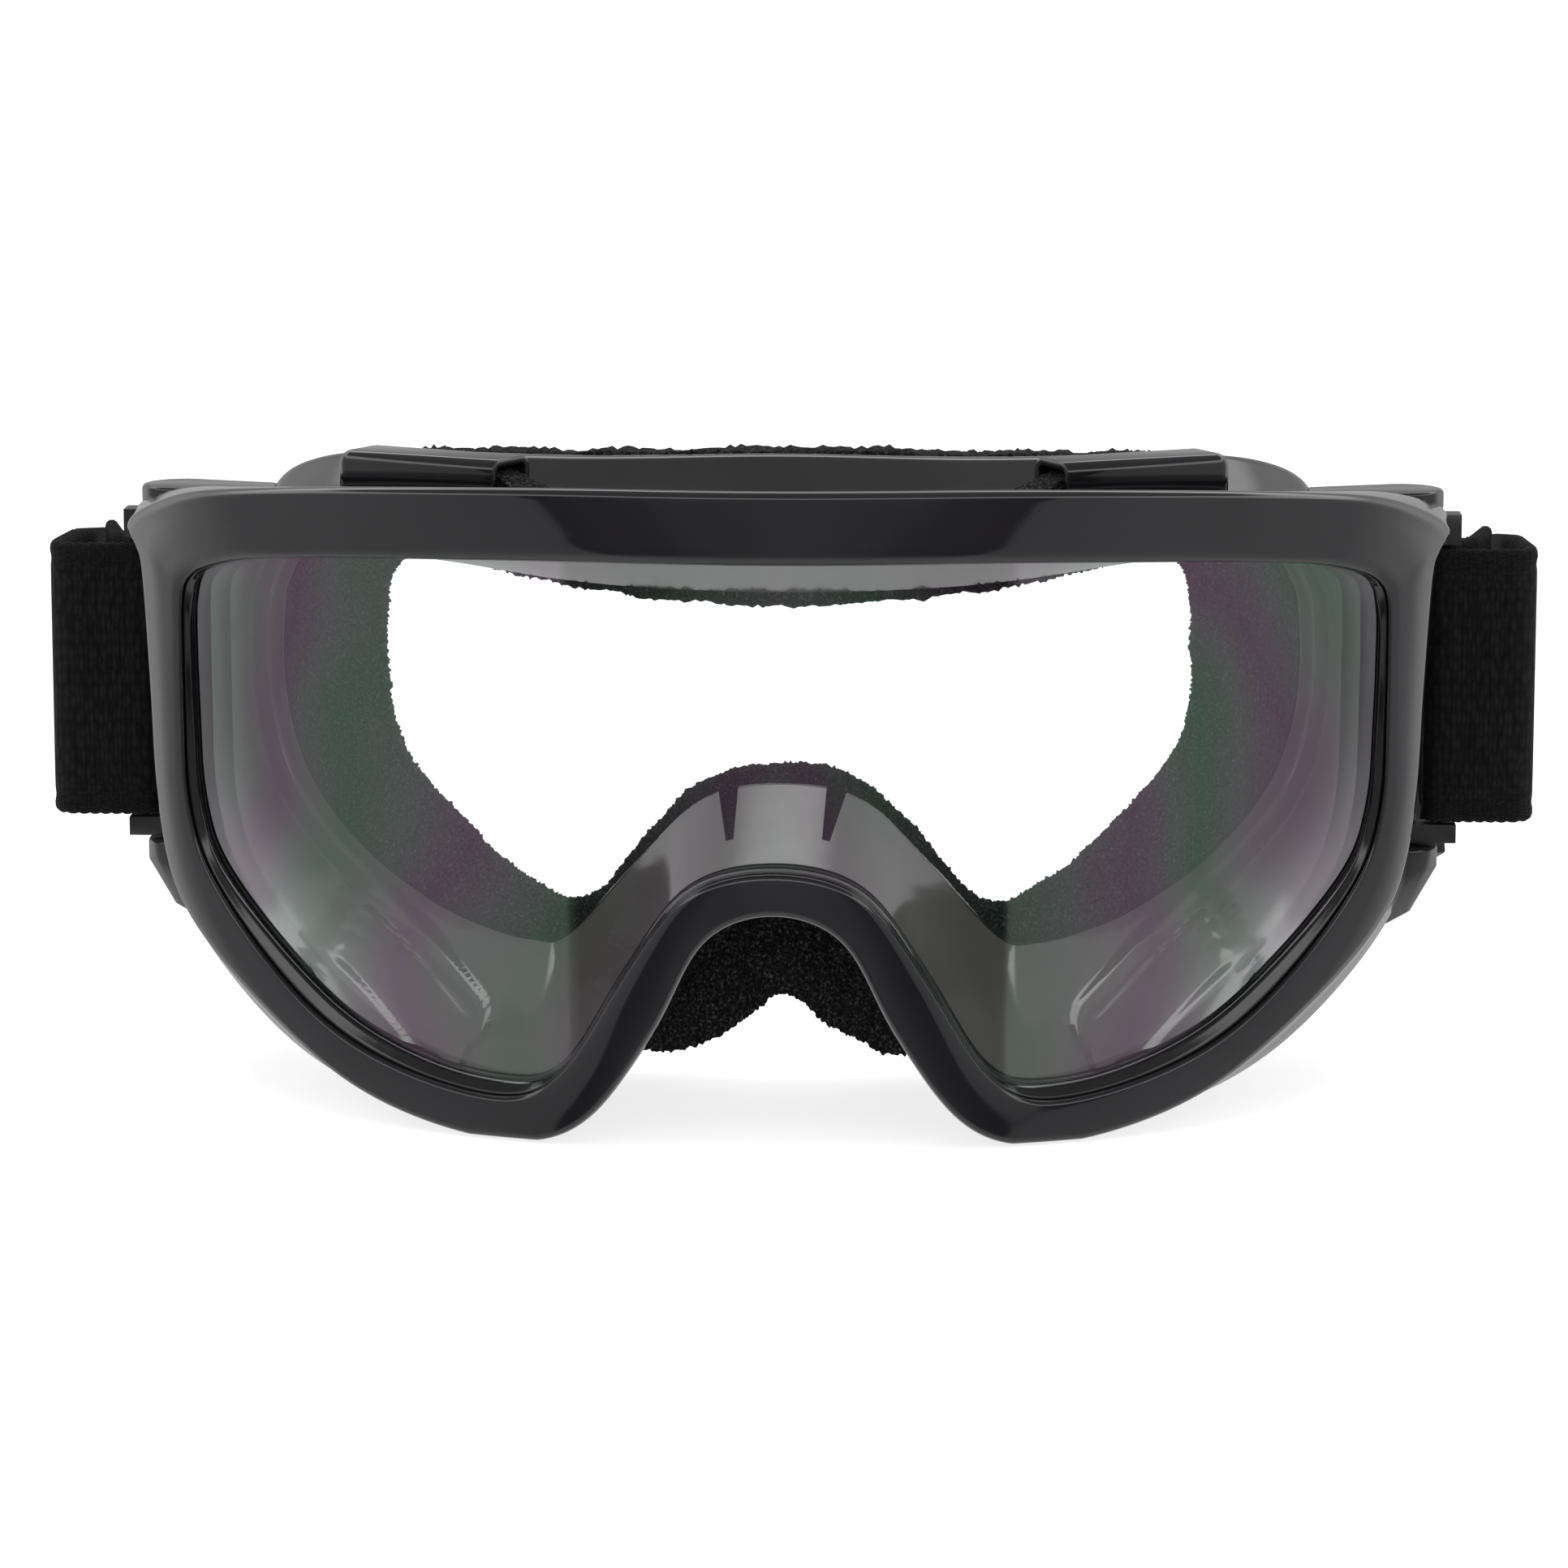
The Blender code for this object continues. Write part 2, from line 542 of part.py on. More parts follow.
def strap_path(side):
    """The middle line of one strap half: sewn tail, round the clip's bar, then back and down to the
    floor, round the buckle's bar and forwards again as a doubled tail."""
    radius = CLIP_BAR_RADIUS + GAP + STRAP_THICKNESS / 2
    sewn = [(CLIP_BAR_X + 6.9, PIVOT_Y + 22), (CLIP_BAR_X + 4.2, PIVOT_Y + 11)]
    plan = sewn + turn_round((CLIP_BAR_X, PIVOT_Y), radius, 150, 270)
    plan += turn_round((STRAP_FOLD_X, PIVOT_Y), radius, 270, 360)
    path = [(side * x, y, STRAP_CENTRE_Z) for x, y in plan]
    path += [(side * x, y, z) for x, y, z in STRAP_ROUTE]
    length = stretch_length(side)
    loop = BUCKLE_BAR_THICKNESS / 2 + GAP + STRAP_THICKNESS / 2
    run = [(length - 9, 0)] + turn_round((length, loop), loop, -90, 90)
    run += [(length - 9, LAYER_STEP + 0.1), (TAIL_AT, LAYER_STEP + 0.1)]
    frame = strap_frame(side, 0)
    return [Vector(p) for p in path] + [frame @ Vector((s, t, 0)) for s, t in run]


def ribbon(name, path, width, thickness, finish):
    """A flat band along a path, on edge, with its width square to the path."""
    bm = bmesh.new()
    rails = []
    up = Vector((0, 0, 1))
    for i, point in enumerate(path):
        along = (path[min(i + 1, len(path) - 1)] - path[max(i - 1, 0)]).normalized()
        up = (up - along * up.dot(along)).normalized()
        rails.append((bm.verts.new(point - up * width / 2), bm.verts.new(point + up * width / 2)))
    for (low, high), (low_next, high_next) in zip(rails, rails[1:]):
        bm.faces.new((low, low_next, high_next, high))
    band = object_from(name, bm, finish)
    shell = band.modifiers.new("Solidify", "SOLIDIFY")
    shell.thickness = thickness * MM
    shell.offset = 0
    return band


def strap_half(side):
    path = strap_path(side)
    name = f"strap_{'left' if side < 0 else 'right'}"
    return ribbon(name, path, STRAP_WIDTH, STRAP_THICKNESS, "black_webbing")


def put(bm, matrix):
    """The bmesh moved by the matrix, with its faces kept outwards when the matrix mirrors it."""
    bmesh.ops.transform(bm, matrix=matrix, verts=bm.verts)
    if matrix.determinant() < 0:
        bmesh.ops.reverse_faces(bm, faces=bm.faces)
    return bm


def strap_box(side, distance, low, high):
    return put(box(low, high), strap_frame(side, distance))


def strap_slider(side):
    """A ladder slide round both layers of the webbing, with a middle bar on each face."""
    name = "left" if side < 0 else "right"
    half_length, half_height = SLIDER_HALF
    outer, inner = -STRAP_THICKNESS / 2 - GAP, LAYER_STEP + 0.1 + STRAP_THICKNESS / 2 + GAP
    slot = STRAP_WIDTH / 2 + GAP
    block = strap_box(side, SLIDER_AT, (-half_length, outer - SLIDER_WALL, -half_height),
                      (half_length, inner + SLIDER_WALL, half_height))
    slider = object_from(f"strap_slider_{name}", block, "black_plastic")
    passage = strap_box(side, SLIDER_AT, (-half_length - 2, outer, -slot), (half_length + 2, inner, slot))
    boolean(slider, cutter_from(f"slider_passage_{name}", passage), "DIFFERENCE")
    for number, middle in enumerate((-SLIDER_WINDOW_AT, SLIDER_WINDOW_AT)):
        low = (middle - SLIDER_WINDOW_HALF, outer - 8, -slot + 1.5)
        high = (middle + SLIDER_WINDOW_HALF, inner + 8, slot - 1.5)
        window = strap_box(side, SLIDER_AT, low, high)
        boolean(slider, cutter_from(f"slider_window_{number}_{name}", window), "DIFFERENCE")
    return slider


def buckle_base(name, side):
    """The end of a buckle half that holds the webbing: a bar between two side rails."""
    length = stretch_length(side)
    middle = BUCKLE_BAR_THICKNESS / 2 + GAP + STRAP_THICKNESS / 2
    near, far = middle - BUCKLE_HALF_DEPTH, middle + BUCKLE_HALF_DEPTH
    rail_inner = STRAP_WIDTH / 2 + GAP
    block = strap_box(side, length, (-4, near, -BUCKLE_HALF_HEIGHT), (8, far, BUCKLE_HALF_HEIGHT))
    base = object_from(name, block, "black_plastic")
    well = strap_box(side, length, (-6, near - 2, -rail_inner), (5, far + 2, rail_inner))
    boolean(base, cutter_from(name + "_well", well), "DIFFERENCE")
    bar = post(0, middle, -rail_inner - 1, rail_inner + 1, BUCKLE_BAR_THICKNESS / 2, 16)
    boolean(base, cutter_from(name + "_bar", put(bar, strap_frame(side, length))), "UNION")
    return base, length, middle


def buckle_plug(side):
    """Two springy prongs with barbs and a guide tongue between them."""
    name = "buckle_plug"
    base, length, middle = buckle_base(name, side)
    for number, up in enumerate((-PRONG_AT, PRONG_AT)):
        prong = strap_box(side, length, (7, middle - PRONG_HALF_DEPTH, up - 1.5),
                          (24, middle + PRONG_HALF_DEPTH, up + 1.5))
        tip = up * 1.32
        barb = strap_box(side, length, (17, middle - PRONG_HALF_DEPTH + 0.1, min(up, tip)),
                         (22, middle + PRONG_HALF_DEPTH - 0.1, max(up, tip)))
        boolean(base, cutter_from(f"{name}_prong_{number}", prong), "UNION")
        boolean(base, cutter_from(f"{name}_barb_{number}", barb), "UNION")
    tongue = strap_box(side, length, (7, middle - PRONG_HALF_DEPTH, -3), (21, middle + PRONG_HALF_DEPTH, 3))
    boolean(base, cutter_from(name + "_tongue", tongue), "UNION")
    return base


def buckle_socket(side):
    """A flat sleeve, open at its mouth, with a side window for each barb."""
    name = "buckle_socket"
    base, length, middle = buckle_base(name, side)
    half_height = BUCKLE_HALF_HEIGHT - 0.6
    half_depth = BUCKLE_HALF_DEPTH - 0.2
    mouth_half = BUCKLE_HALF_HEIGHT - 4
    sleeve = strap_box(side, length, (7.5, middle - half_depth, -half_height),
                       (26, middle + half_depth, half_height))
    mouth = strap_box(side, length, (9, middle - 2, -mouth_half), (28, middle + 2, mouth_half))
    windows = strap_box(side, length, (15, middle - 1.7, -half_height - 2),
                        (21.5, middle + 1.7, half_height + 2))
    boolean(base, cutter_from(name + "_sleeve", sleeve), "UNION")
    boolean(base, cutter_from(name + "_mouth", mouth), "DIFFERENCE")
    boolean(base, cutter_from(name + "_windows", windows), "DIFFERENCE")
    return base


# ---------------------------------------------------------------- assembly

def axis_empty(name, place, parent):
    """An empty on a joint's axis, which carries the pieces that move about it."""
    empty = bpy.data.objects.new(name, None)
    empty.location = Vector(place) * MM - parent.matrix_world.translation
    empty.parent = parent
    parts.objects.link(empty)
    bpy.context.view_layer.update()
    return empty


def carry(obj, parent):
    """Parent an object and its cutters without moving them."""
    obj.parent = parent
    obj.matrix_parent_inverse = parent.matrix_world.inverted()
    for step in obj.modifiers:
        if step.type == "BOOLEAN":
            carry(step.object, parent)


def stand_on_origin(origin):
    """Move everything so that the middle of the underside of the whole box is at the world's origin."""
    depsgraph = bpy.context.evaluated_depsgraph_get()
    corners = [
        obj.matrix_world @ Vector(corner)
        for obj in parts.objects if obj.type == "MESH"
        for corner in obj.evaluated_get(depsgraph).bound_box]
    low = [min(c[i] for c in corners) for i in range(3)]
    high = [max(c[i] for c in corners) for i in range(3)]
    origin.location = (-(low[0] + high[0]) / 2, -(low[1] + high[1]) / 2, -low[2])
    bpy.context.view_layer.update()


clear_scene()
parts = new_collection("ski_goggles")
cutters = new_collection("cutters")
goggles = bpy.data.objects.new("goggles_frame", None)
parts.objects.link(goggles)

for piece in (front_bezel(), lens(), lens_gasket(), frame_body(), face_foam()):
    carry(piece, goggles)
for side, name, buckle_half in ((-1, "left", buckle_socket), (1, "right", buckle_plug)):
    for level in ("top", "bottom"):
        carry(vent_hood(side, level), goggles)
        carry(vent_filter(side, level), goggles)
    carry(clip_pin(side), goggles)
    hinge = axis_empty(f"clip_axis_{name}", (side * PIVOT_X, PIVOT_Y, 0), goggles)
    for piece in (strap_clip(side), strap_half(side), buckle_half(side)):
        carry(piece, hinge)
    slide = axis_empty(f"slider_axis_{name}", strap_frame(side, SLIDER_AT).translation, hinge)
    carry(strap_slider(side), slide)
stand_on_origin(goggles)
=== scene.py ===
"""Ski goggles, finished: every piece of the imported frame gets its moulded, woven or foamed surface here.

Lengths are in millimetres until a mesh is handed over, when they turn to metres in the frame's place.
X is to the right, +Z is up and +Y goes from the lens towards the face.
"""

import math

import bmesh
import bpy
from mathutils import Matrix, Vector, noise


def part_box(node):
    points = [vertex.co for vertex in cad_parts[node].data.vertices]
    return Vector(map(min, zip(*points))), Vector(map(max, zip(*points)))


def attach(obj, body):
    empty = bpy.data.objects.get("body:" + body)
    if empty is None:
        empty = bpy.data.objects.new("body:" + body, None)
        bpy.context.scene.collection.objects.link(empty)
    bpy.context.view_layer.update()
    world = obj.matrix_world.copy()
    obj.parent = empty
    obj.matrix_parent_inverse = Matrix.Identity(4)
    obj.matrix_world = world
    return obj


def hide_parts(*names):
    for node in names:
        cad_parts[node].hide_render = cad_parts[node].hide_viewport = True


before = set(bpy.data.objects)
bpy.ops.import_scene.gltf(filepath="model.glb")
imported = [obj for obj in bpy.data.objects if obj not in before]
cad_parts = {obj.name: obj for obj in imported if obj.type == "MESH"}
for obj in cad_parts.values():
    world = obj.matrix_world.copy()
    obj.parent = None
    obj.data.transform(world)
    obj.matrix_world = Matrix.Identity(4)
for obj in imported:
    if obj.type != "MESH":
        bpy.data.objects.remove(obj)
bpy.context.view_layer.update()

MM = 0.001
FRONT_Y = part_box("front_bezel")[0].y      # the frame's Y where the bezel is furthest forward
TO_FRAME = Matrix.Translation((0, FRONT_Y, 0)) @ Matrix.Scale(MM, 4)

# Layers and walls of the moulded frame
LENS_RADIUS = 109.0
LENS_THICKNESS = 2.0
FACE_RADIUS = 92.0
FACE_DEPTH = 37.0
SIDE_DEPTH_GROWTH = 0.36
SIDE_REACH = 88.0
BEZEL_DEPTH = 11.0
LIP_DEPTH = 3.4
GAP = 0.3
GASKET_THICKNESS = 1.2
HOOD_WALL = 1.1
FLANGE_THICKNESS = 2.4
FOAM_THICKNESS = 10.0
GLUE_LINE = 0.7
STATION_SAMPLES = 12

# Strap, clips and buckle
STRAP_WIDTH = 38.0
STRAP_THICKNESS = 1.8
STRAP_CENTRE_Z = 51.2
PIVOT = (84.2, 67.2)
CLIP_LOW, CLIP_HIGH = 29.0, 75.0
LUG_THICKNESS = 3.0
LUG_RADIUS = 5.6
LUG_ROOT_X = 71.0
LUG_LEAN = 3.8
GUSSET_DROP = 13.0
BOSS_DROP = 6.5
BOSS_RADIUS = 2.0
CLIP_BAR_X = 90.6
CLIP_BAR_RADIUS = 1.2
STRAP_FOLD_X = 99.6
STRAP_ROUTE = [
    (102.1, 69, 51.2), (101.4, 80, 51.0), (99.6, 94, 49.3), (97.2, 108, 45.6), (94.7, 121, 41.6)]
STRAP_END = (86.0, 174)
STRAP_END_Z = {-1: 27.8, 1: 23.7}
TAIL_AT = 8.0
SEAM_ROWS = (80.0, 86.5)
SEAM_STITCHES = 15
STITCH_PITCH = 2.3
BUCKLE_BAR_THICKNESS = 2.2

# Outlines in the front view, right half, from the top middle round to the middle of the nose arch
BEZEL_OUTER = [
    (0, 85.8), (30, 85.6), (55, 84.3), (72, 82.4), (80.5, 80.6), (87, 77.4), (89.3, 74.9), (88.2, 73),
    (87.1, 69.5), (86, 54), (84.9, 37.5), (80.8, 24.2), (66.8, 11.4), (53, 3.2), (36, -0.4), (24.8, 2.6),
    (15.6, 15), (9, 27.2), (0, 30.8)]
BEZEL_BACK = [
    (0, 83.9), (30, 83.7), (55, 82.6), (72.5, 81.1), (81.2, 79.8), (88, 77.2), (90.2, 74.9), (89.2, 72.9),
    (88, 69.5), (86.8, 54), (85.6, 38), (83.6, 23), (69.8, 8.6), (54.6, 1.4), (36, -0.5), (24.2, 2.2),
    (15, 14.6), (8.4, 27.4), (0, 31.2)]
OPENING = [
    (0, 76), (30, 75.9), (54, 74.8), (66, 73.6), (72, 72.6), (76.6, 70.7), (78.3, 68.6), (79, 66),
    (79.3, 62), (79, 50), (78.2, 38.6), (74.4, 29.4), (60.8, 16.2), (49.5, 10), (37, 7.2), (28, 9.2),
    (20, 22), (11.5, 33.6), (0, 36.7)]
SHOULDER = [
    (0, 83.3), (30, 83.1), (55, 82), (71, 80.1), (78, 78.2), (82.5, 75.5), (83.8, 73.2), (84, 71.5),
    (83.8, 69), (82.8, 54), (82.5, 39), (82.6, 23.6), (69.2, 9.2), (54.2, 2), (36, -0.4), (24.6, 2.8),
    (15.6, 15.4), (8.7, 28.3), (0, 31.9)]
NECK = [
    (0, 80.8), (28, 80.8), (52, 79.8), (63, 78), (69, 76), (73.5, 73.4), (75.5, 71.4), (77, 69),
    (78, 66), (78.6, 53), (78, 40), (72.6, 29), (58.5, 19.4), (47.6, 13), (36.6, 9.2), (28, 10.8),
    (19, 20), (10.6, 31.8), (0, 35.6)]
FLANGE_OUTER = [
    (0, 86.5), (26, 85.7), (48, 85.1), (58.5, 84), (65, 82.4), (69.6, 80), (72.2, 76.8), (74, 72.5),
    (75.2, 67), (76, 54), (74, 38), (68.6, 24), (58.6, 10), (47.4, 2.4), (36, -0.4), (27.4, 3),
    (19.2, 17), (10.6, 33.4), (0, 38.2)]
FLANGE_INNER = [
    (0, 68), (25, 68.6), (44, 70.4), (54, 71.8), (60, 72), (64, 71), (66.8, 69), (68.6, 66),
    (69.8, 62), (70, 50), (66.4, 38.5), (57.6, 29.2), (47.2, 23.2), (40, 20.8), (34, 19.8), (29, 20.8),
    (19.4, 31.6), (10.6, 40.2), (0, 42.4)]
FOAM_OUTER = [
    (0, 86.6), (26, 85.7), (48, 84.5), (57.5, 83), (63.5, 81.4), (68, 79), (71, 76), (73, 72),
    (74.2, 67), (75, 54), (73, 38), (67.6, 24), (57.6, 10.4), (46.4, 3.8), (34, 2.6), (22, 4.6),
    (14, 4.7), (6.5, 8.4), (0, 12.8)]
FOAM_INNER = [
    (0, 65.8), (24, 67), (39, 69.3), (45, 70.3), (49.5, 70.6), (52.8, 69.4), (54.6, 66.8), (55.2, 63.2),
    (55.4, 58.4), (55, 50), (52.6, 42.4), (46.4, 35.4), (39.4, 29.2), (34, 26), (29.5, 24), (25, 25.6),
    (17.4, 35), (10, 41.6), (0, 43.8)]

# Vents: half length, half width and height of each hood, how far its filter runs on, and where it sits
VENT_SIZE = {"top": (12.5, 4.6, 6.2), "bottom": (11.0, 4.6, 4.2)}
VENT_APRON = {"top": 6.0, "bottom": 0.0}
VENT_AT = {"top": (46.5, 34.4, 80.5), "bottom": (50.9, 38.2, 13.9)}
VENT_SWEEP = {"top": 28.0, "bottom": 31.0}
VENT_ROLL = 30.4

# The frame's inner wall, with the moulded window over each lower vent
FUNNEL_ROWS = 44
FUNNEL_BOW = 2.2
RIDGES_AT = (0.1, 0.24)
RIDGE_HEIGHT = 0.9
RIDGE_WIDTH = 0.022
SIDE_STARTS = 44.0
SIDE_FADE = 16.0
WINDOW_AT = (50.9, 15.6)
WINDOW_TURN = 37.6
WINDOW_HALF = (12.0, 5.8)
WINDOW_CORNER = 2.6
WINDOW_BORDER = 2.4
WINDOW_HEIGHT = 2.4
WINDOW_SINK = 0.6
WINDOW_EDGES = (0.9, 0.7)

# Painted light on the frame's inside: a lit tone by the foam and brighter painted light by the lens
INSIDE_PAINTED_LIGHT_LOW = (0.115, 0.108, 0.106)
INSIDE_PAINTED_LIGHT_HIGH = (0.62, 0.59, 0.63)

# The lens coating's colour bands
BAND_WIDTH = 30.0
BAND_HEIGHT = 95.0
SIDES = {-1: "left", 1: "right"}

# How bright the room is in reflections, by heading: 0 is straight ahead of the lens, 1 behind it
REFLECTED_ROOM = [
    (0.0, 0.34), (0.07, 0.26), (0.13, 0.1), (0.186, 0.05), (0.192, 0.5), (0.3, 0.62), (0.42, 0.66),
    (0.5, 0.6), (0.56, 0.95), (0.62, 1.5), (0.7, 1.2), (0.8, 0.6), (1.0, 0.4)]

# The camera, in metres and degrees
CAMERA_TARGET = (0.00142, -0.10214, 0.04835)
CAMERA_DISTANCE = 0.7584
CAMERA_RISE = 10.0
CAMERA_TURN = 2.0


# ---------------------------------------------------------------- finishes

def finish(name, base, roughness, **sockets):
    """A Principled material with its fixed values set on the shader's own sockets."""
    made = bpy.data.materials.new(name)
    made.use_nodes = True
    shader = made.node_tree.nodes["Principled BSDF"]
    shader.inputs["Base Color"].default_value = (*base, 1)
    shader.inputs["Roughness"].default_value = roughness
    for socket, value in sockets.items():
        shader.inputs[socket.replace("_", " ")].default_value = value
    return made


def node(made, kind, links=(), **values):
    """A node in the material. Values go to its inputs by name, or to its own settings."""
    tree = made.node_tree
    added = tree.nodes.new("ShaderNode" + kind)
    for key, value in values.items():
        if key.startswith("in_"):
            added.inputs[key[3:].replace("_", " ")].default_value = value
        else:
            setattr(added, key, value)
    for socket, source in dict(links).items():
        tree.links.new(source, added.inputs[socket])
    return added


def into(made, socket, source):
    made.node_tree.links.new(source, made.node_tree.nodes["Principled BSDF"].inputs[socket])


def place(made, coordinate="Object", scale=(1000, 1000, 1000), turn=(0, 0, 0)):
    """Coordinates in millimetres on the piece."""
    source = node(made, "TexCoord").outputs[coordinate]
    return node(made, "Mapping", {"Vector": source}, in_Scale=scale, in_Rotation=turn).outputs["Vector"]


def ramp(made, source, *stops):
    """A colour ramp through (position, colour) stops."""
    added = node(made, "ValToRGB", {"Fac": source})
    elements = added.color_ramp.elements
    while len(elements) < len(stops):
        elements.new(0.5)
    for element, (position, colour) in zip(elements, stops):
        element.position = position
        element.color = (*colour, 1)
    return added.outputs["Color"]


def worked(made, operation, first, second=None):
    """A sum on one value, or on two values, either of which may be a plain number."""
    added = node(made, "Math", operation=operation)
    for slot, source in enumerate((first, second)):
        if isinstance(source, (int, float)):
            added.inputs[slot].default_value = source
        elif source is not None:
            made.node_tree.links.new(source, added.inputs[slot])
    return added.outputs[0]


def spread(made, source, low, high):
    """A 0 to 1 value spread over a new range."""
    return node(made, "MapRange", {"Value": source}, in_To_Min=low, in_To_Max=high).outputs["Result"]


def bump(made, height, distance, strength=1.0, under=None):
    links = {"Height": height}
    if under:
        links["Normal"] = under
    return node(made, "Bump", links, in_Distance=distance * MM, in_Strength=strength).outputs["Normal"]


def grain(made, where, size, detail=2.0, kind="TexNoise"):
    """Noise or cells of about that many millimetres."""
    added = node(made, kind, {"Vector": where}, in_Scale=1 / size)
    if kind == "TexNoise":
        added.inputs["Detail"].default_value = detail
        return added.outputs["Fac"]
    return added.outputs["Distance"]


def gunmetal_finish():
    """Glossy moulded plastic with a faint flow waviness, fine dust pits and soft rub marks."""
    made = finish("gunmetal_plastic", (0.0085, 0.0078, 0.009), 0.1, Specular_IOR_Level=0.5,
                  Coat_Weight=0.15, Coat_Roughness=0.03)
    where = place(made)
    into(made, "Base Color", ramp(made, grain(made, where, 22), (0.3, (0.0072, 0.0066, 0.0078)),
                                  (0.7, (0.0105, 0.0095, 0.0112))))
    into(made, "Roughness", spread(made, grain(made, where, 5, 6), 0.03, 0.085))
    into(made, "Normal", bump(made, grain(made, where, 9, 0), 0.02, 0.3))
    return made


def smoke_finish(name, base):
    """Soft smoky TPU with faint moulding waves, near black; the copy for the inner wall is lightened with
    painted light.
    """
    made = finish(name, base, 0.14, Specular_IOR_Level=0.5)
    where = place(made)
    into(made, "Base Color", ramp(made, grain(made, where, 15), (0.3, tuple(c * 0.8 for c in base)),
                                  (0.7, tuple(c * 1.25 for c in base))))
    into(made, "Roughness", spread(made, grain(made, where, 4, 5), 0.06, 0.14))
    into(made, "Normal", bump(made, grain(made, where, 7, 0), 0.04, 0.35))
    return made


def smoke_inside_painted_light_finish(start):
    """The same plastic from within, with the light that comes through it painted into its colour: painted
    light makes it milky by the lens, and it is darker by the foam.
    The map's V runs from start, at the flange, to 1 at the lens."""
    # Painted light: the inside copy's base is far lighter than the outside's, standing for light coming
    # through the wall.
    made = smoke_finish("smoke_tpu_inside_painted_light", INSIDE_PAINTED_LIGHT_LOW)
    tone = made.node_tree.nodes["Color Ramp"]
    for element, factor in zip(tone.color_ramp.elements, (0.94, 1.06)):
        element.color = (*(c * factor for c in INSIDE_PAINTED_LIGHT_LOW), 1)
    along = node(made, "SeparateXYZ", {"Vector": node(made, "TexCoord").outputs["UV"]}).outputs["Y"]
    painted_light_by_lens = node(made, "MapRange", {"Value": along}, in_From_Min=start + 0.1, in_From_Max=1.0,
                     interpolation_type="SMOOTHSTEP").outputs["Result"]
    reach = worked(made, "ABSOLUTE", node(made, "SeparateXYZ", {"Vector": place(made)}).outputs["X"])
    at_side = node(made, "MapRange", {"Value": reach}, in_From_Min=46.0, in_From_Max=77.0,
                   interpolation_type="SMOOTHSTEP").outputs["Result"]
    share = worked(made, "MULTIPLY", painted_light_by_lens, at_side)
    # Painted light: the wall turns milky towards the lens at the frame's sides.
    mix = node(made, "MixRGB", {"Fac": share, "Color1": tone.outputs["Color"]}, in_Color2=(*INSIDE_PAINTED_LIGHT_HIGH, 1))
    into(made, "Base Color", mix.outputs["Color"])
    return made


def lip_finish():
    made = finish("lip_gloss_black", (0.004, 0.004, 0.0045), 0.12, Specular_IOR_Level=0.6)
    where = place(made)
    into(made, "Roughness", spread(made, grain(made, where, 3, 4), 0.08, 0.2))
    into(made, "Normal", bump(made, grain(made, where, 1.2, 2), 0.02, 0.4))
    return made


def rubber_finish():
    made = finish("seal_rubber", (0.012, 0.012, 0.013), 0.6)
    where = place(made)
    into(made, "Roughness", spread(made, grain(made, where, 2, 4), 0.5, 0.7))
    into(made, "Normal", bump(made, grain(made, where, 0.3, 3), 0.02, 0.6))
    return made


def lens_finish():
    """Clear polycarbonate with a thin coating whose reflection drifts between green and magenta."""
    made = finish("clear_lens", (0.8, 0.8, 0.8), 0.03, Metallic=1.0)
    split = node(made, "SeparateXYZ", {"Vector": place(made)})
    across = worked(made, "DIVIDE", worked(made, "ABSOLUTE", split.outputs["X"]), BAND_WIDTH)
    film = worked(made, "ADD", across, worked(made, "DIVIDE", split.outputs["Z"], BAND_HEIGHT))
    drift = spread(made, grain(made, place(made), 30, 1), -0.6, 0.6)
    film = worked(made, "FRACT", worked(made, "ADD", film, drift))
    coat = ramp(made, film, (0.0, (0.72, 0.78, 0.75)), (0.22, (0.5, 0.78, 0.6)),
                (0.45, (0.74, 0.76, 0.76)), (0.68, (0.8, 0.52, 0.77)), (0.86, (0.76, 0.66, 0.76)),
                (1.0, (0.72, 0.78, 0.75)))
    into(made, "Base Color", coat)
    clear = node(made, "BsdfTransparent", in_Color=(0.985, 0.988, 0.986, 1))
    # Layer Weight is the same from both sides. A Fresnel node would mirror fully at the plate's back face,
    # because the clear shader doesn't refract.
    grazing = node(made, "LayerWeight", in_Blend=0.5).outputs["Facing"]
    amount = spread(made, worked(made, "POWER", grazing, 4.0), 0.085, 0.9)
    shader = made.node_tree.nodes["Principled BSDF"]
    mix = node(made, "MixShader", {0: amount, 1: clear.outputs[0], 2: shader.outputs[0]})
    output = made.node_tree.nodes["Material Output"]
    made.node_tree.links.new(mix.outputs[0], output.inputs["Surface"])
    return made


def foam_finish():
    """Black open-cell foam with painted light in its colour: speckles run from painted shade in the pores to
    painted highlights on fine struts.
    """
    made = finish("black_foam", (0.012, 0.012, 0.012), 0.95, Specular_IOR_Level=0.2)
    where = place(made)
    painted_strut_light = grain(made, where, 0.42, 4)
    pores = grain(made, where, 0.7, kind="TexVoronoi")
    # Painted light and shade: noise speckles from shaded pores to lit struts.
    into(made, "Base Color", ramp(made, painted_strut_light, (0.42, (0.0025, 0.0025, 0.0026)),
                                  (0.56, (0.011, 0.011, 0.011)), (0.7, (0.06, 0.06, 0.061))))
    lumps = bump(made, grain(made, where, 2.6, 3), 0.5, 0.6)
    into(made, "Normal", bump(made, pores, 0.4, 0.8, lumps))
    return made


def plastic_finish():
    """Acetal with a fine spark-eroded grain."""
    made = finish("black_plastic", (0.012, 0.012, 0.0125), 0.36)
    where = place(made)
    into(made, "Base Color", ramp(made, grain(made, where, 6), (0.3, (0.01, 0.01, 0.0105)),
                                  (0.7, (0.017, 0.017, 0.0175))))
    into(made, "Roughness", spread(made, grain(made, where, 1.5, 4), 0.3, 0.46))
    into(made, "Normal", bump(made, grain(made, where, 0.22, 2), 0.02, 0.5))
    return made


def steel_finish():
    made = finish("pin_steel", (0.6, 0.6, 0.62), 0.25, Metallic=1.0)
    where = place(made, scale=(3000, 3000, 200))
    into(made, "Roughness", spread(made, grain(made, where, 0.8, 3), 0.18, 0.34))
    into(made, "Normal", bump(made, grain(made, where, 0.6, 3), 0.01, 0.5))
    return made


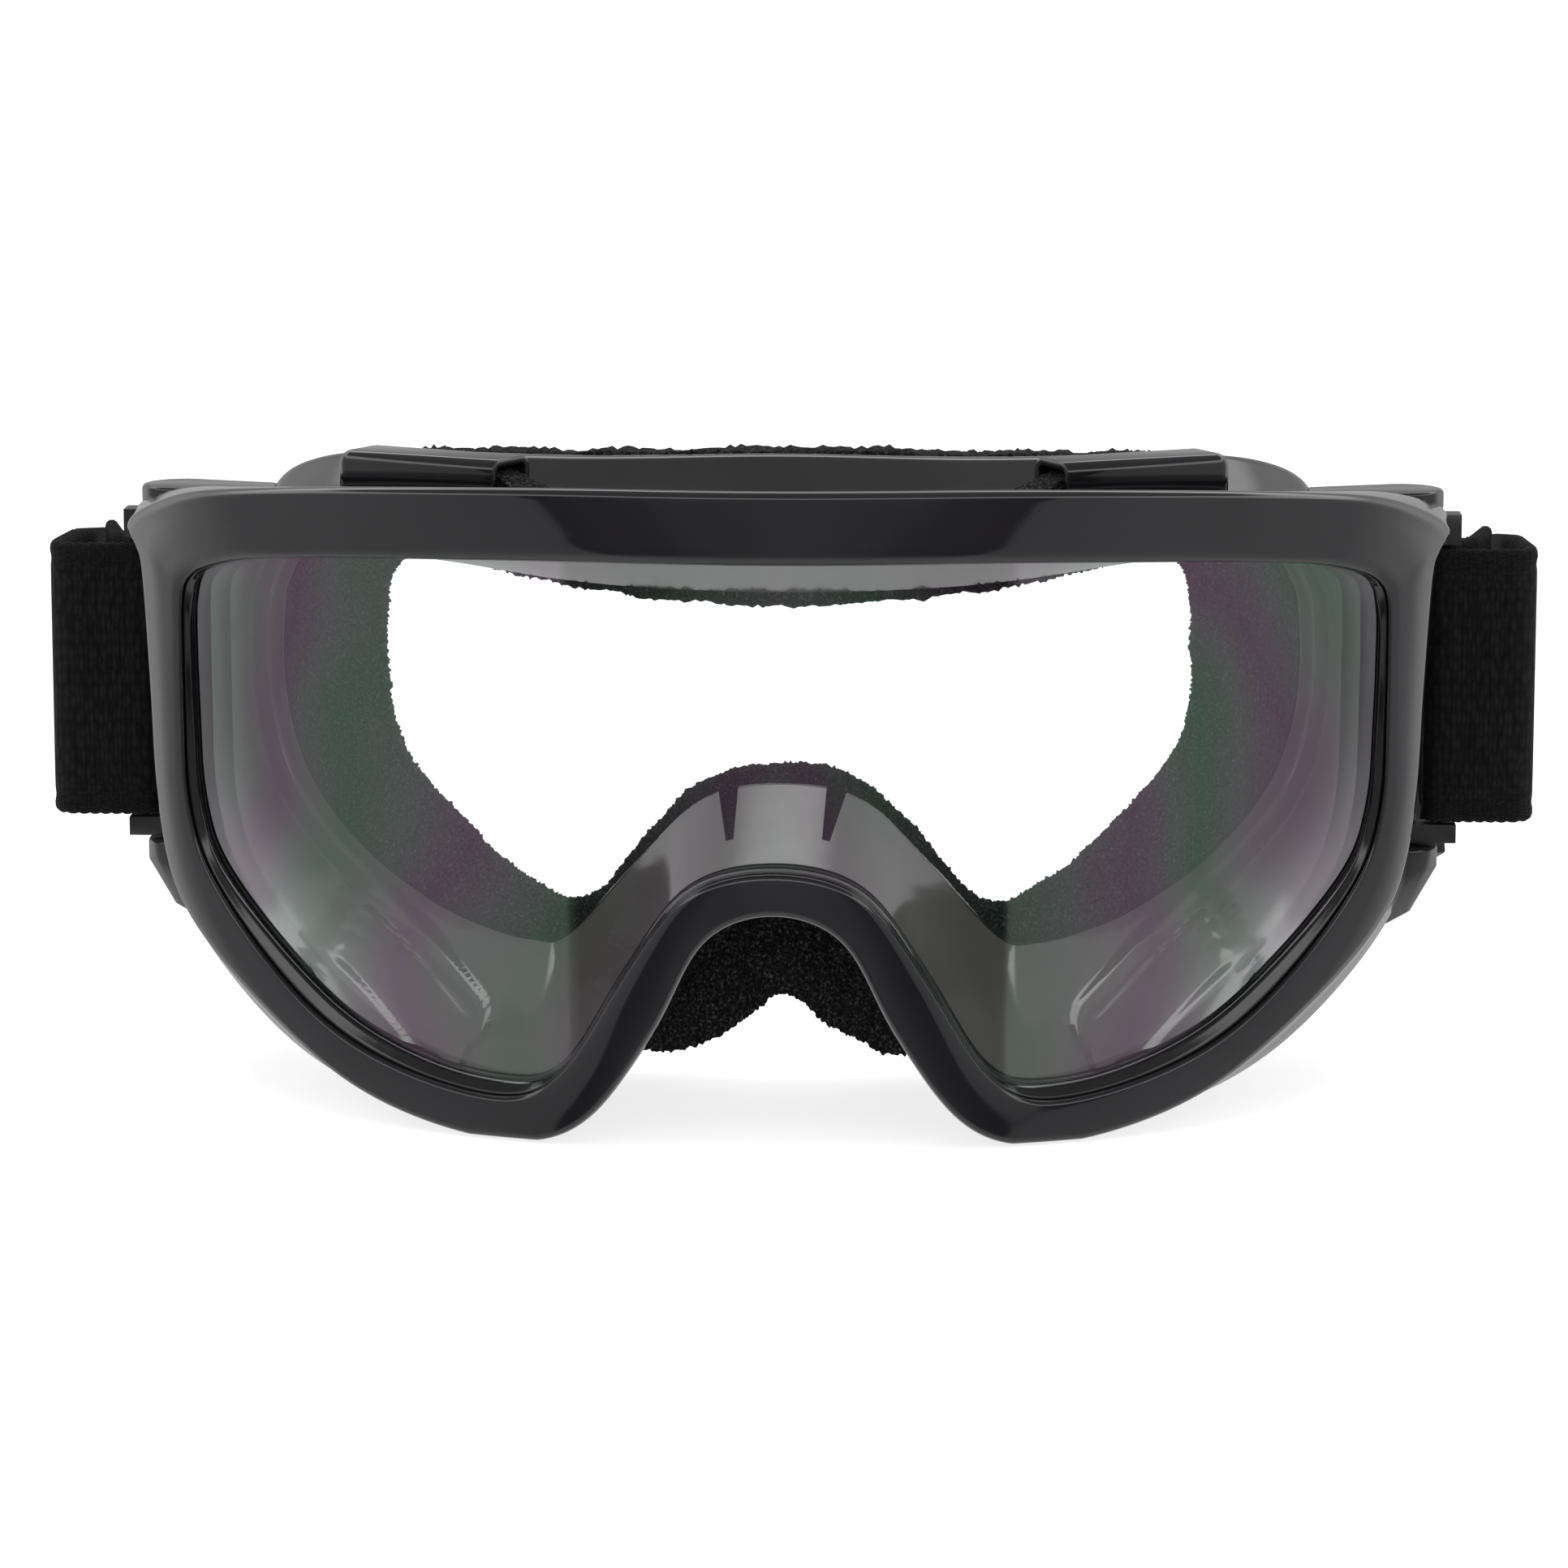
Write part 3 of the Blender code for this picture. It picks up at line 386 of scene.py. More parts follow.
def webbing_finish():
    """Knitted elastic: rows of small loops along the strap, ribs across it and a little fuzz. Painted shade
    darkens the gaps between the loops.
    """
    made = finish("black_webbing", (0.005, 0.005, 0.0052), 0.92, Specular_IOR_Level=0.15, Sheen_Weight=0.02,
                  Sheen_Roughness=0.5)
    where = place(made, "UV", scale=(1, 1, 1))
    loops = node(made, "TexVoronoi", {"Vector": node(made, "Mapping", {"Vector": where},
                 in_Scale=(90, 320, 1)).outputs[0]}, in_Scale=1.0, in_Randomness=0.55)
    ribs = node(made, "TexWave", {"Vector": node(made, "Mapping", {"Vector": where},
                in_Scale=(1, 36, 1)).outputs[0]}, in_Scale=1.0, in_Distortion=0.6, bands_direction="Y")
    fuzz = grain(made, place(made), 0.5, 4)
    # Painted shade: lighter on the raised loops, darker in the gaps between them.
    into(made, "Base Color", ramp(made, loops.outputs["Distance"], (0.0, (0.0105, 0.0105, 0.011)),
                                  (0.5, (0.005, 0.005, 0.0052)), (0.9, (0.0015, 0.0015, 0.0015))))
    first = bump(made, ribs.outputs["Fac"], 0.1, 0.35)
    second = node(made, "Bump", {"Height": loops.outputs["Distance"], "Normal": first},
                  in_Distance=0.25 * MM, in_Strength=0.8, invert=True).outputs["Normal"]
    into(made, "Normal", bump(made, fuzz, 0.12, 0.5, second))
    return made


def thread_finish():
    made = finish("black_thread", (0.02, 0.02, 0.021), 0.7, Sheen_Weight=0.2)
    where = place(made, turn=(0, 0.6, 0))
    twist_with_painted_shade = node(made, "TexWave", {"Vector": where}, in_Scale=2.2)
    # Painted shade: the thread is darker in the twist's grooves and lighter on its ridges.
    into(made, "Base Color", ramp(made, twist_with_painted_shade.outputs["Fac"], (0.2, (0.012, 0.012, 0.012)),
                                  (0.8, (0.03, 0.03, 0.031))))
    into(made, "Normal", bump(made, twist_with_painted_shade.outputs["Fac"], 0.05, 0.6))
    return made


GUNMETAL = gunmetal_finish()
SMOKE = smoke_finish("smoke_tpu", (0.0125, 0.0115, 0.0125))
LIP = lip_finish()
RUBBER = rubber_finish()
CLEAR = lens_finish()
FOAM = foam_finish()
PLASTIC = plastic_finish()
STEEL = steel_finish()
WEBBING = webbing_finish()
THREAD = thread_finish()


# ---------------------------------------------------------------- making and handing over a piece

def piece(name, bm, made, body="goggles", stands_for=(), sharp=40):
    """An object from a bmesh in millimetres, riding on its body and standing for its CAD nodes."""
    bmesh.ops.transform(bm, matrix=TO_FRAME, verts=bm.verts)
    return hand_over(name, bm, made, body, stands_for, sharp)


def hand_over(name, bm, made, body, stands_for, sharp):
    mesh = bpy.data.meshes.new(name)
    bm.to_mesh(mesh)
    bm.free()
    for each in made if isinstance(made, tuple) else (made,):
        mesh.materials.append(each)
    mesh.shade_smooth()
    mesh.set_sharp_from_angle(angle=math.radians(sharp))
    obj = bpy.data.objects.new(name, mesh)
    bpy.context.scene.collection.objects.link(obj)
    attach(obj, body)
    if stands_for:
        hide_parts(*stands_for)
    return obj


def eased(node_name, name, width, made, body):
    """A CAD piece with its edges rounded."""
    bm = bmesh.new()
    bm.from_mesh(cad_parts[node_name].data)
    bmesh.ops.remove_doubles(bm, verts=bm.verts, dist=1e-6)
    bmesh.ops.dissolve_limit(bm, angle_limit=math.radians(2), verts=bm.verts, edges=bm.edges)
    edges = [e for e in bm.edges if e.is_manifold and e.calc_face_angle() > math.radians(34)]
    bmesh.ops.bevel(bm, geom=edges, offset=width * MM, segments=3, profile=0.5, affect="EDGES", material=-1,
                    clamp_overlap=True)
    bmesh.ops.remove_doubles(bm, verts=bm.verts, dist=2e-6)
    return hand_over(name, bm, made, body, (node_name,), 40)


# ---------------------------------------------------------------- outlines and layers

def averaged(points, passes, closed=True):
    """Each point pulled towards its neighbours, which evens out the curve's bends."""
    for _ in range(passes):
        if closed:
            after = points[1:] + points[:1]
            points = [(points[i - 1] + 2 * p + after[i]) / 4 for i, p in enumerate(points)]
        else:
            inner = [(a + 2 * b + c) / 4 for a, b, c in zip(points, points[1:], points[2:])]
            points = [points[0], *inner, points[-1]]
    return points


def outline(stations, samples=STATION_SAMPLES, passes=6):
    """The whole closed outline of a half given from the top middle to the nose arch."""
    left = [(-x, z) for x, z in stations[-2:0:-1]]
    points = [Vector(p) for p in list(stations) + left]
    count = len(points)
    curve = []
    for i in range(count):
        a, b, c, d = (points[(i + k) % count] for k in (-1, 0, 1, 2))
        for s in range(samples):
            t = s / samples
            curve.append(0.5 * (2 * b + (c - a) * t + (2 * a - 5 * b + 4 * c - d) * t * t
                                + (3 * b - a - 3 * c + d) * t ** 3))
    return [Vector((p.x, max(p.y, 0.0))) for p in averaged(curve, passes)]


def between(first, second, share):
    return [a.lerp(b, share) for a, b in zip(first, second)]


def front_y(x):
    return LENS_RADIUS - math.sqrt(LENS_RADIUS ** 2 - x * x)


def layer_y(x, depth):
    return front_y(x) + depth * (1 + SIDE_DEPTH_GROWTH * (x / SIDE_REACH) ** 2)


def face_y(x):
    return FACE_DEPTH + FACE_RADIUS - math.sqrt(FACE_RADIUS ** 2 - x * x)


def at_layer(loop, depth):
    return [Vector((p.x, layer_y(p.x, depth), p.y)) for p in loop]


def at_face(loop, depth):
    return [Vector((p.x, face_y(p.x) + depth, p.y)) for p in loop]


def ease(t):
    t = min(max(t, 0), 1)
    return t * t * (3 - 2 * t)


def at_waist(loop, share):
    """Part of the way from the back of the bezel to the front of the face flange."""
    placed = []
    for p in loop:
        start = layer_y(p.x, BEZEL_DEPTH + GAP)
        end = face_y(p.x) - FLANGE_THICKNESS
        placed.append(Vector((p.x, start + (end - start) * share, p.y)))
    return placed


def filleted(corners, steps=4):
    """The rows of a closed section whose corners, given as (loop, radius), are rounded."""
    rows = []
    for k, (loop, radius) in enumerate(corners):
        if not radius:
            rows.append(loop)
            continue
        before, after = corners[k - 1][0], corners[(k + 1) % len(corners)][0]
        arcs = [[] for _ in range(steps + 1)]
        for a, b, c in zip(before, loop, after):
            start = b + (a - b) * min(0.48, radius / max((a - b).length, 1e-6))
            end = b + (c - b) * min(0.48, radius / max((c - b).length, 1e-6))
            for s in range(steps + 1):
                t = s / steps
                arcs[s].append(start * (1 - t) ** 2 + b * 2 * t * (1 - t) + end * t * t)
        rows += arcs
    return rows


def lofted(rows, closed=True, inside=()):
    """A skin from row to row, and from the last to the first when closed. The rows are closed loops.
    The rows named as inside get the piece's second finish."""
    bm = bmesh.new()
    bm.loops.layers.uv.new("UVMap")
    rows = list(rows) + ([rows[0]] if closed else [])
    columns = len(rows[0])
    bmesh.ops.create_grid(bm, x_segments=columns, y_segments=len(rows) - 1, size=1, calc_uvs=True)
    bm.verts.ensure_lookup_table()
    for r, row in enumerate(rows):
        for c in range(columns + 1):
            bm.verts[r * (columns + 1) + c].co = row[c % columns]
    for k, face in enumerate(bm.faces):
        face.material_index = int(k // columns in inside)
    bmesh.ops.remove_doubles(bm, verts=bm.verts, dist=0.0004)
    if not closed:
        bmesh.ops.holes_fill(bm, edges=bm.edges, sides=0)
    bmesh.ops.recalc_face_normals(bm, faces=bm.faces)
    return bm


def put(bm, matrix):
    bmesh.ops.transform(bm, matrix=matrix, verts=bm.verts)
    if matrix.determinant() < 0:
        bmesh.ops.reverse_faces(bm, faces=bm.faces)
    return bm


def box(low, high):
    bm = bmesh.new()
    low, high = [min(p) for p in zip(low, high)], [max(p) for p in zip(low, high)]
    middle = [(a + b) / 2 for a, b in zip(low, high)]
    size = [b - a for a, b in zip(low, high)]
    bmesh.ops.create_cube(bm, size=1, matrix=Matrix.Translation(middle) @ Matrix.Diagonal((*size, 1)))
    return bm


def rounded(bm, offset, segments=4, edges=None):
    bmesh.ops.bevel(bm, geom=edges or list(bm.edges), offset=offset, segments=segments, profile=0.5,
                    affect="EDGES", material=-1, clamp_overlap=True)
    return bm


def joined(*parts):
    """Several bmeshes as one."""
    whole = parts[0]
    for part in parts[1:]:
        held = bpy.data.meshes.new("held")
        part.to_mesh(held)
        whole.from_mesh(held)
        part.free()
        bpy.data.meshes.remove(held)
    return whole


# ---------------------------------------------------------------- front: bezel, lens, lip, gasket

def rim_line(outer, opening):
    """The bezel's inner edge: further out than the clear opening at the sides and round the lobes."""
    line = []
    for a, b in zip(outer, opening):
        side = ease((abs(b.x) - 40) / 34) * ease((73.5 - b.y) / 7)
        bottom = ease((32 - b.y) / 20) * ease((abs(b.x) - 27) / 9)
        width = 0.25 + 1.35 * side + 1.5 * bottom
        line.append(b + (a - b).normalized() * width)
    return averaged(line, 8)


def front_bezel():
    outer, back, opening = outline(BEZEL_OUTER), outline(BEZEL_BACK), outline(OPENING)
    rim = rim_line(outer, opening)

    def at(share, depth):
        return at_layer(between(outer, rim, share), depth)

    corners = [
        (at_layer(back, BEZEL_DEPTH), 0.5),
        (at_layer(between(outer, back, 0.4), 6), 1.5),
        (at(0, 1.3), 0.9),
        (at(0.07, 0.15), 0.8),
        (at(0.42, 0), 2.2),
        (at(0.86, 0.3), 1.4),
        (at(0.985, 0.75), 0.45),
        (at(1, 1.7), 0.3),
        (at(1, LIP_DEPTH), 0.1),
        (at(0.3, LIP_DEPTH), 0.3),
        (at(0.26, BEZEL_DEPTH), 0.4),
    ]
    return piece("front_bezel_moulding", lofted(filleted(corners, 5)), GUNMETAL,
                 stands_for=("front_bezel",))


def lens_plate():
    """A flat outline cut into narrow upright strips, drawn out and bent round the lens's curve."""
    depth = LIP_DEPTH + GAP
    edge = between(outline(BEZEL_OUTER), outline(OPENING), 0.52)
    bm = bmesh.new()
    ring = bmesh.ops.create_circle(bm, cap_ends=True, segments=len(edge), radius=1)["verts"]
    for v, p in zip(ring, edge):
        v.co = (p.x, 0, p.y)
    reach, step = 84, 1.5
    for i in range(int(2 * reach / step) + 1):
        bmesh.ops.bisect_plane(bm, geom=bm.verts[:] + bm.edges[:] + bm.faces[:], dist=0.001,
                               plane_co=(-reach + i * step, 0, 0), plane_no=(1, 0, 0))
    drawn = bmesh.ops.extrude_face_region(bm, geom=list(bm.faces))["geom"]
    far = {v for v in drawn if isinstance(v, bmesh.types.BMVert)}
    for v in bm.verts:
        v.co.y = layer_y(v.co.x, depth + (LENS_THICKNESS if v in far else 0))
    bmesh.ops.recalc_face_normals(bm, faces=bm.faces)
    return piece("lens_plate", bm, CLEAR, stands_for=("lens",))


def lens_lip():
    """The bezel's glossy black inner step, which runs from its edge down to the clear opening."""
    outer, opening = outline(BEZEL_OUTER), outline(OPENING)
    rim = rim_line(outer, opening)

    def at(share, depth, beyond=0.0):
        loop = [b.lerp(c, share) + (c - b).normalized() * beyond for b, c in zip(rim, opening)]
        return at_layer(loop, depth)

    corners = [(at(0, 1.75, -0.15), 0.1), (at(0.12, 1.5), 0.25), (at(0.55, 2.1), 0.5), (at(0.85, 2.5), 0.2),
               (at(1, 3.2), 0.2), (at(1, 3.66), 0.1), (at(0, 3.66, -0.15), 0.1)]
    return piece("front_bezel_step", lofted(filleted(corners, 3)), LIP,
                 stands_for=("front_bezel",))


def lens_gasket():
    outer, opening = outline(BEZEL_OUTER), outline(OPENING)
    near = LIP_DEPTH + LENS_THICKNESS + 2 * GAP
    far = near + GASKET_THICKNESS
    corners = [(at_layer(between(outer, opening, share), depth), 0.35)
               for share, depth in ((0.45, near), (0.97, near), (0.97, far), (0.45, far))]
    return piece("lens_seal", lofted(filleted(corners, 3)), RUBBER,
                 stands_for=("lens_gasket",))


# ---------------------------------------------------------------- frame body

def vent_matrix(side, level):
    """A vent's own frame: its length along X, out of the frame's wall along Z, origin on its seat."""
    x, y, z = VENT_AT[level]
    sweep = Matrix.Rotation(math.radians(side * VENT_SWEEP[level]), 4, "Z")
    seat = Matrix.Translation((side * x, y, z)) @ sweep
    if level == "top":
        return seat
    return seat @ Matrix.Rotation(math.radians(180 - side * VENT_ROLL), 4, "Y")


def towards_open(side, level):
    return -side if level == "top" else side


def frame_body():
    outer, opening, neck = outline(BEZEL_OUTER), outline(OPENING), outline(NECK)
    shoulder = outline(SHOULDER)
    flange_outer, flange_inner = outline(FLANGE_OUTER), outline(FLANGE_INNER)
    front = LIP_DEPTH + LENS_THICKNESS + 3 * GAP + GASKET_THICKNESS
    plug, mouth = between(outer, opening, 0.36), between(outer, opening, 0.995)
    lip = at_face(flange_inner, -FLANGE_THICKNESS)
    corners = [
        (at_layer(mouth, front), 0), (at_layer(plug, front), 0.4), (at_layer(plug, BEZEL_DEPTH + GAP), 0.4),
        (at_waist(shoulder, 0), 0.6), (at_waist(shoulder, 0.08), 1.2),
        (at_waist(neck, 0.3), 4), (at_waist(neck, 0.62), 4),
        (at_face(flange_outer, -FLANGE_THICKNESS), 1.0), (at_face(flange_outer, 0), 1.0),
        (at_face(flange_inner, 0), 0.7), (lip, 0.6),
    ]
    outside = filleted(corners, 4)
    rows = outside + funnel(lip, at_layer(mouth, front))
    # The inner wall's faces get the copy of the plastic with painted light in its colour.
    made = (SMOKE, smoke_inside_painted_light_finish(len(outside) / len(rows)))
    skin = lofted(rows, inside=range(len(outside) - 1, len(rows)))
    body = piece("frame_body_moulding", skin, made, stands_for=("frame_body",), sharp=50)
    cut(body, joined(*[nose_slot(side) for side in SIDES], *[top_vent_slot(side) for side in SIDES]))
    return body


def funnel(start, end):
    """The inner wall from the flange's lip to the lens, with the windows. It bows out at the sides, where it
    has two ridges."""
    rows = []
    for k in range(1, FUNNEL_ROWS):
        t = k / FUNNEL_ROWS
        bow = FUNNEL_BOW * math.sin(math.pi * t)
        ridge = sum(RIDGE_HEIGHT * math.exp(-((t - at) / RIDGE_WIDTH) ** 2) for at in RIDGES_AT)
        row = []
        for a, b in zip(start, end):
            p = a.lerp(b, t)
            out = Vector((b.x - a.x, 0, b.z - a.z)).normalized()
            at_side = ease((abs(p.x) - SIDE_STARTS) / SIDE_FADE)
            p += out * bow * at_side
            p.y -= ridge * at_side + window_relief(p)
            row.append(p)
        rows.append(row)
    return rows


def window_relief(p):
    """How far the moulded window frame over a lower vent stands out of the inner wall."""
    side = -1 if p.x < 0 else 1
    x, z = (p.x - side * WINDOW_AT[0]) * -side, p.z - WINDOW_AT[1]
    turn = math.radians(WINDOW_TURN)
    along, across = x * math.cos(turn) - z * math.sin(turn), x * math.sin(turn) + z * math.cos(turn)
    dx = max(abs(along) - WINDOW_HALF[0] + WINDOW_CORNER, 0)
    dz = max(abs(across) - WINDOW_HALF[1] + WINDOW_CORNER, 0)
    beyond = math.hypot(dx, dz) - WINDOW_CORNER
    if dx == 0 and dz == 0:
        beyond = max(abs(along) - WINDOW_HALF[0], abs(across) - WINDOW_HALF[1])
    outer_edge, inner_edge = WINDOW_EDGES
    plateau = ease((0.4 - beyond) / outer_edge)
    recess = ease((-WINDOW_BORDER - beyond) / inner_edge)
    return WINDOW_HEIGHT * (plateau - WINDOW_SINK * recess)


def cut(obj, bm):
    """Take a shape in millimetres out of the object, for good."""
    bmesh.ops.transform(bm, matrix=TO_FRAME, verts=bm.verts)
    mesh = bpy.data.meshes.new("cutter")
    bm.to_mesh(mesh)
    bm.free()
    cutter = bpy.data.objects.new("cutter", mesh)
    bpy.context.scene.collection.objects.link(cutter)
    step = obj.modifiers.new("Cut", "BOOLEAN")
    step.operation = "DIFFERENCE"
    step.object = cutter
    bpy.context.view_layer.update()
    result = bpy.data.meshes.new_from_object(obj.evaluated_get(bpy.context.evaluated_depsgraph_get()))
    obj.modifiers.remove(step)
    obj.data = result
    bpy.data.objects.remove(cutter)


def nose_slot(side):
    """A slot in the nose saddle that widens towards the face and is open there."""
    narrow, wide = 0.5, 1.9
    plan = [(6.3 - narrow, 17), (6.3 + narrow, 17), (7.9 + wide, 48), (7.9 - wide, 48)]
    bm = bmesh.new()
    ring = bmesh.ops.create_circle(bm, cap_ends=True, segments=4, radius=1)["verts"]
    for v, (x, y) in zip(ring, plan):
        v.co = (side * x, y, 22)
    drawn = bmesh.ops.extrude_face_region(bm, geom=list(bm.faces))["geom"]
    bmesh.ops.translate(bm, verts=[v for v in drawn if isinstance(v, bmesh.types.BMVert)], vec=(0, 0, 28))
    bmesh.ops.recalc_face_normals(bm, faces=bm.faces)
    return bm


def top_vent_slot(side):
    """The air slot under a top hood. The lower vents have only their moulded windows here."""
    long, wide, _ = VENT_SIZE["top"]
    flip = towards_open(side, "top")
    end = long + VENT_APRON["top"]
    bm = box((flip * (3.2 - long), 2.2 - wide, -7), (flip * (end - 2.5), wide - 2.2, 3))
    upright = [e for e in bm.edges if abs(e.verts[0].co.z - e.verts[1].co.z) > 1]
    return put(rounded(bm, 1.4, 4, upright), vent_matrix(side, "top"))


def frame_ear(side, level):
    """An ear on the frame's side that holds the clip's pin. The lower ear stands on a tapering gusset."""
    low = CLIP_HIGH + GAP if level == "top" else CLIP_LOW - GAP - LUG_THICKNESS
    high = low + LUG_THICKNESS
    reach = LUG_RADIUS - 0.4
    x, y = side * PIVOT[0], PIVOT[1]
    bm = bmesh.new()
    bmesh.ops.create_cone(bm, cap_ends=True, segments=48, radius1=LUG_RADIUS, radius2=LUG_RADIUS,
                          depth=high - low, matrix=Matrix.Translation((x, y, (low + high) / 2)))
    foot = low
    if level == "bottom":
        foot = low - GUSSET_DROP
        bmesh.ops.create_circle(bm, segments=48, radius=BOSS_RADIUS,
                                matrix=Matrix.Translation((x, y, low - BOSS_DROP)))
    for root_y in (y - reach - LUG_LEAN, y + reach - LUG_LEAN):
        for z in (foot, high):
            bmesh.ops.create_vert(bm, co=(side * LUG_ROOT_X, root_y, z))
    hull = bmesh.ops.convex_hull(bm, input=bm.verts)
    spare = {g for g in hull["geom_interior"] + hull["geom_unused"] if isinstance(g, bmesh.types.BMVert)}
    bmesh.ops.delete(bm, geom=list(spare), context="VERTS")
    bmesh.ops.dissolve_limit(bm, angle_limit=math.radians(1), verts=bm.verts, edges=bm.edges)
    bmesh.ops.recalc_face_normals(bm, faces=bm.faces)
    sharp = [e for e in bm.edges if e.is_manifold and e.calc_face_angle() > math.radians(40)]
    rounded(bm, 0.6, 3, sharp)
    return piece(f"frame_ear_{level}_{SIDES[side]}", bm, SMOKE)


# ---------------------------------------------------------------- foam

def ragged(bm, torn, size, lumps, seed):
    """Push each vertex along its normal by fine torn noise and broader lumps."""
    bm.normal_update()
    moves = []
    for v in bm.verts:
        fine = noise.noise(v.co / size + Vector((seed, 0, 0))) + 0.6 * noise.noise(v.co / size * 2.3)
        broad = noise.noise(v.co / 5.2 + Vector((0, seed, 0)))
        moves.append(v.normal * (torn * fine + lumps * broad))
    for v, move in zip(bm.verts, moves):
        v.co += move
    return bm


def face_foam():
    outer = outline(FOAM_OUTER, samples=36, passes=10)
    inner = outline(FOAM_INNER, samples=36, passes=10)
    near, far = GLUE_LINE, FOAM_THICKNESS
    section = [(0.0, near), (0.0, far - 3.5), (0.03, far - 1.8), (0.1, far - 0.8), (0.2, far - 0.2),
               (0.3, far), (0.45, far + 0.1), (0.6, far), (0.75, far - 0.1), (0.88, far - 0.8),
               (0.95, far - 1.8), (0.99, far - 3.2), (1.0, far - 5), (1.0, far - 6.5), (1.0, near + 1),
               (0.97, near), (0.5, near)]
    rows = []
    pairs = list(zip(section, section[1:] + section[:1]))
    for (share, depth), (next_share, next_depth) in pairs:
        steps = 3 if share > 0.9 and depth > near else 2
        for s in range(steps):
            t = s / steps
            rows.append(at_face(between(outer, inner, share + (next_share - share) * t),
                                depth + (next_depth - depth) * t))
    bm = ragged(lofted(rows), 0.55, 0.5, 0.5, 3.0)
    foam = piece("face_foam_pad", bm, FOAM, stands_for=("face_foam",), sharp=180)
    return foam


def vent_filter(side, level):
    """A block of foam over the air slot, which slopes down where it runs on past the hood."""
    long, wide, tall = VENT_SIZE[level]
    inset_by = HOOD_WALL + 0.4
    top, apron = tall - inset_by, VENT_APRON[level]
    profile = [(-long + inset_by, GAP), (-long + inset_by, top), (long - 2, top)]
    profile += [(long + apron, 1.4), (long + apron, GAP)] if apron else [(long - 2, GAP)]
    bm = bmesh.new()
    ring = bmesh.ops.create_circle(bm, cap_ends=True, segments=len(profile), radius=1)["verts"]
    for v, (x, z) in zip(ring, profile):
        v.co = (x * towards_open(side, level), -wide + inset_by, z)
    drawn = bmesh.ops.extrude_face_region(bm, geom=list(bm.faces))["geom"]
    far = [v for v in drawn if isinstance(v, bmesh.types.BMVert)]
    bmesh.ops.translate(bm, verts=far, vec=(0, 2 * (wide - inset_by), 0))
    bmesh.ops.recalc_face_normals(bm, faces=bm.faces)
    rounded(bm, 0.5, 2)
    bmesh.ops.triangulate(bm, faces=bm.faces)
    for _ in range(5):
        long_edges = [e for e in bm.edges if e.calc_length() > 0.75]
        if long_edges:
            bmesh.ops.subdivide_edges(bm, edges=long_edges, cuts=1)
            bmesh.ops.triangulate(bm, faces=bm.faces)
    ragged(bm, 0.14, 0.6, 0.08, side * 7.0)
    put(bm, vent_matrix(side, level))
    name = f"{level}_vent_filter_{SIDES[side]}"
    block = piece(name + "_foam", bm, FOAM, stands_for=(name,), sharp=180)
    return block


# ---------------------------------------------------------------- vent hoods

def vent_hood(side, level):
    """A moulded cap over an air slot, open at one end and underneath."""
    long, wide, tall = VENT_SIZE[level]
    opened = Vector((towards_open(side, level), 0, 0))
    bm = box((-long, -wide, GAP), (long, wide, tall))
    gone = [f for f in bm.faces if f.normal.z < -0.9 or f.normal.dot(opened) > 0.9]
    bmesh.ops.delete(bm, geom=gone, context="FACES")
    rounded(bm, 1.9, 7, [e for e in bm.edges if len(e.link_faces) == 2])
    put(bm, vent_matrix(side, level))
    name = f"{level}_vent_hood_{SIDES[side]}"
    hood = piece(name + "_cap", bm, GUNMETAL, stands_for=(name,), sharp=50)
    shell = hood.modifiers.new("Solidify", "SOLIDIFY")
    shell.thickness = HOOD_WALL * MM
    shell.offset = -1
    edge = hood.modifiers.new("Bevel", "BEVEL")
    edge.width = 0.25 * MM
    edge.segments = 2
    edge.limit_method = "ANGLE"
    edge.angle_limit = math.radians(50)
    return hood


# ---------------------------------------------------------------- straps

def strap_frame(side, distance):
    """A frame on the strap's straight stretch: X along it, Y out of its inner face, Z up its width."""
    start = Vector((side * STRAP_ROUTE[-1][0], *STRAP_ROUTE[-1][1:]))
    end = Vector((side * STRAP_END[0], STRAP_END[1], STRAP_END_Z[side]))
    along = (end - start).normalized()
    inward = Vector((0, 0, side)).cross(along).normalized()
    up = along.cross(inward).normalized() * side
    at = start + along * distance
    return Matrix((
        (along.x, inward.x, up.x, at.x),
        (along.y, inward.y, up.y, at.y),
        (along.z, inward.z, up.z, at.z),
        (0, 0, 0, 1)))


def turn_round(centre, radius, first, last, step=15):
    return [(centre[0] + radius * math.cos(math.radians(a)), centre[1] + radius * math.sin(math.radians(a)))
            for a in range(first, last + 1, step)]


def strap_path(side):
    """The middle line of one strap half, from its sewn tail to its doubled tail past the buckle."""
    radius = CLIP_BAR_RADIUS + GAP + STRAP_THICKNESS / 2
    sewn = [(CLIP_BAR_X + 6.9, PIVOT[1] + 22), (CLIP_BAR_X + 4.2, PIVOT[1] + 11)]
    plan = sewn + turn_round((CLIP_BAR_X, PIVOT[1]), radius, 150, 270)
    plan += turn_round((STRAP_FOLD_X, PIVOT[1]), radius, 270, 360)
    path = [(side * x, y, STRAP_CENTRE_Z) for x, y in plan]
    path += [(side * x, y, z) for x, y, z in STRAP_ROUTE]
    length = (Vector((*STRAP_END, STRAP_END_Z[side])) - Vector(STRAP_ROUTE[-1])).length
    loop = BUCKLE_BAR_THICKNESS / 2 + GAP + STRAP_THICKNESS / 2
    back = STRAP_THICKNESS + GAP + 0.1
    run = [(length - 9, 0)] + turn_round((length, loop), loop, -90, 90)
    run += [(length - 9, back), (TAIL_AT, back)]
    to_part = strap_frame(side, 0)
    return [Vector(p) for p in path] + [to_part @ Vector((s, t, 0)) for s, t in run]


def evenly(path, step):
    """Points every step along a path of straight runs."""
    points = []
    for a, b in zip(path, path[1:]):
        count = max(1, round((b - a).length / step))
        points += [a.lerp(b, i / count) for i in range(count)]
    return points + [path[-1]]


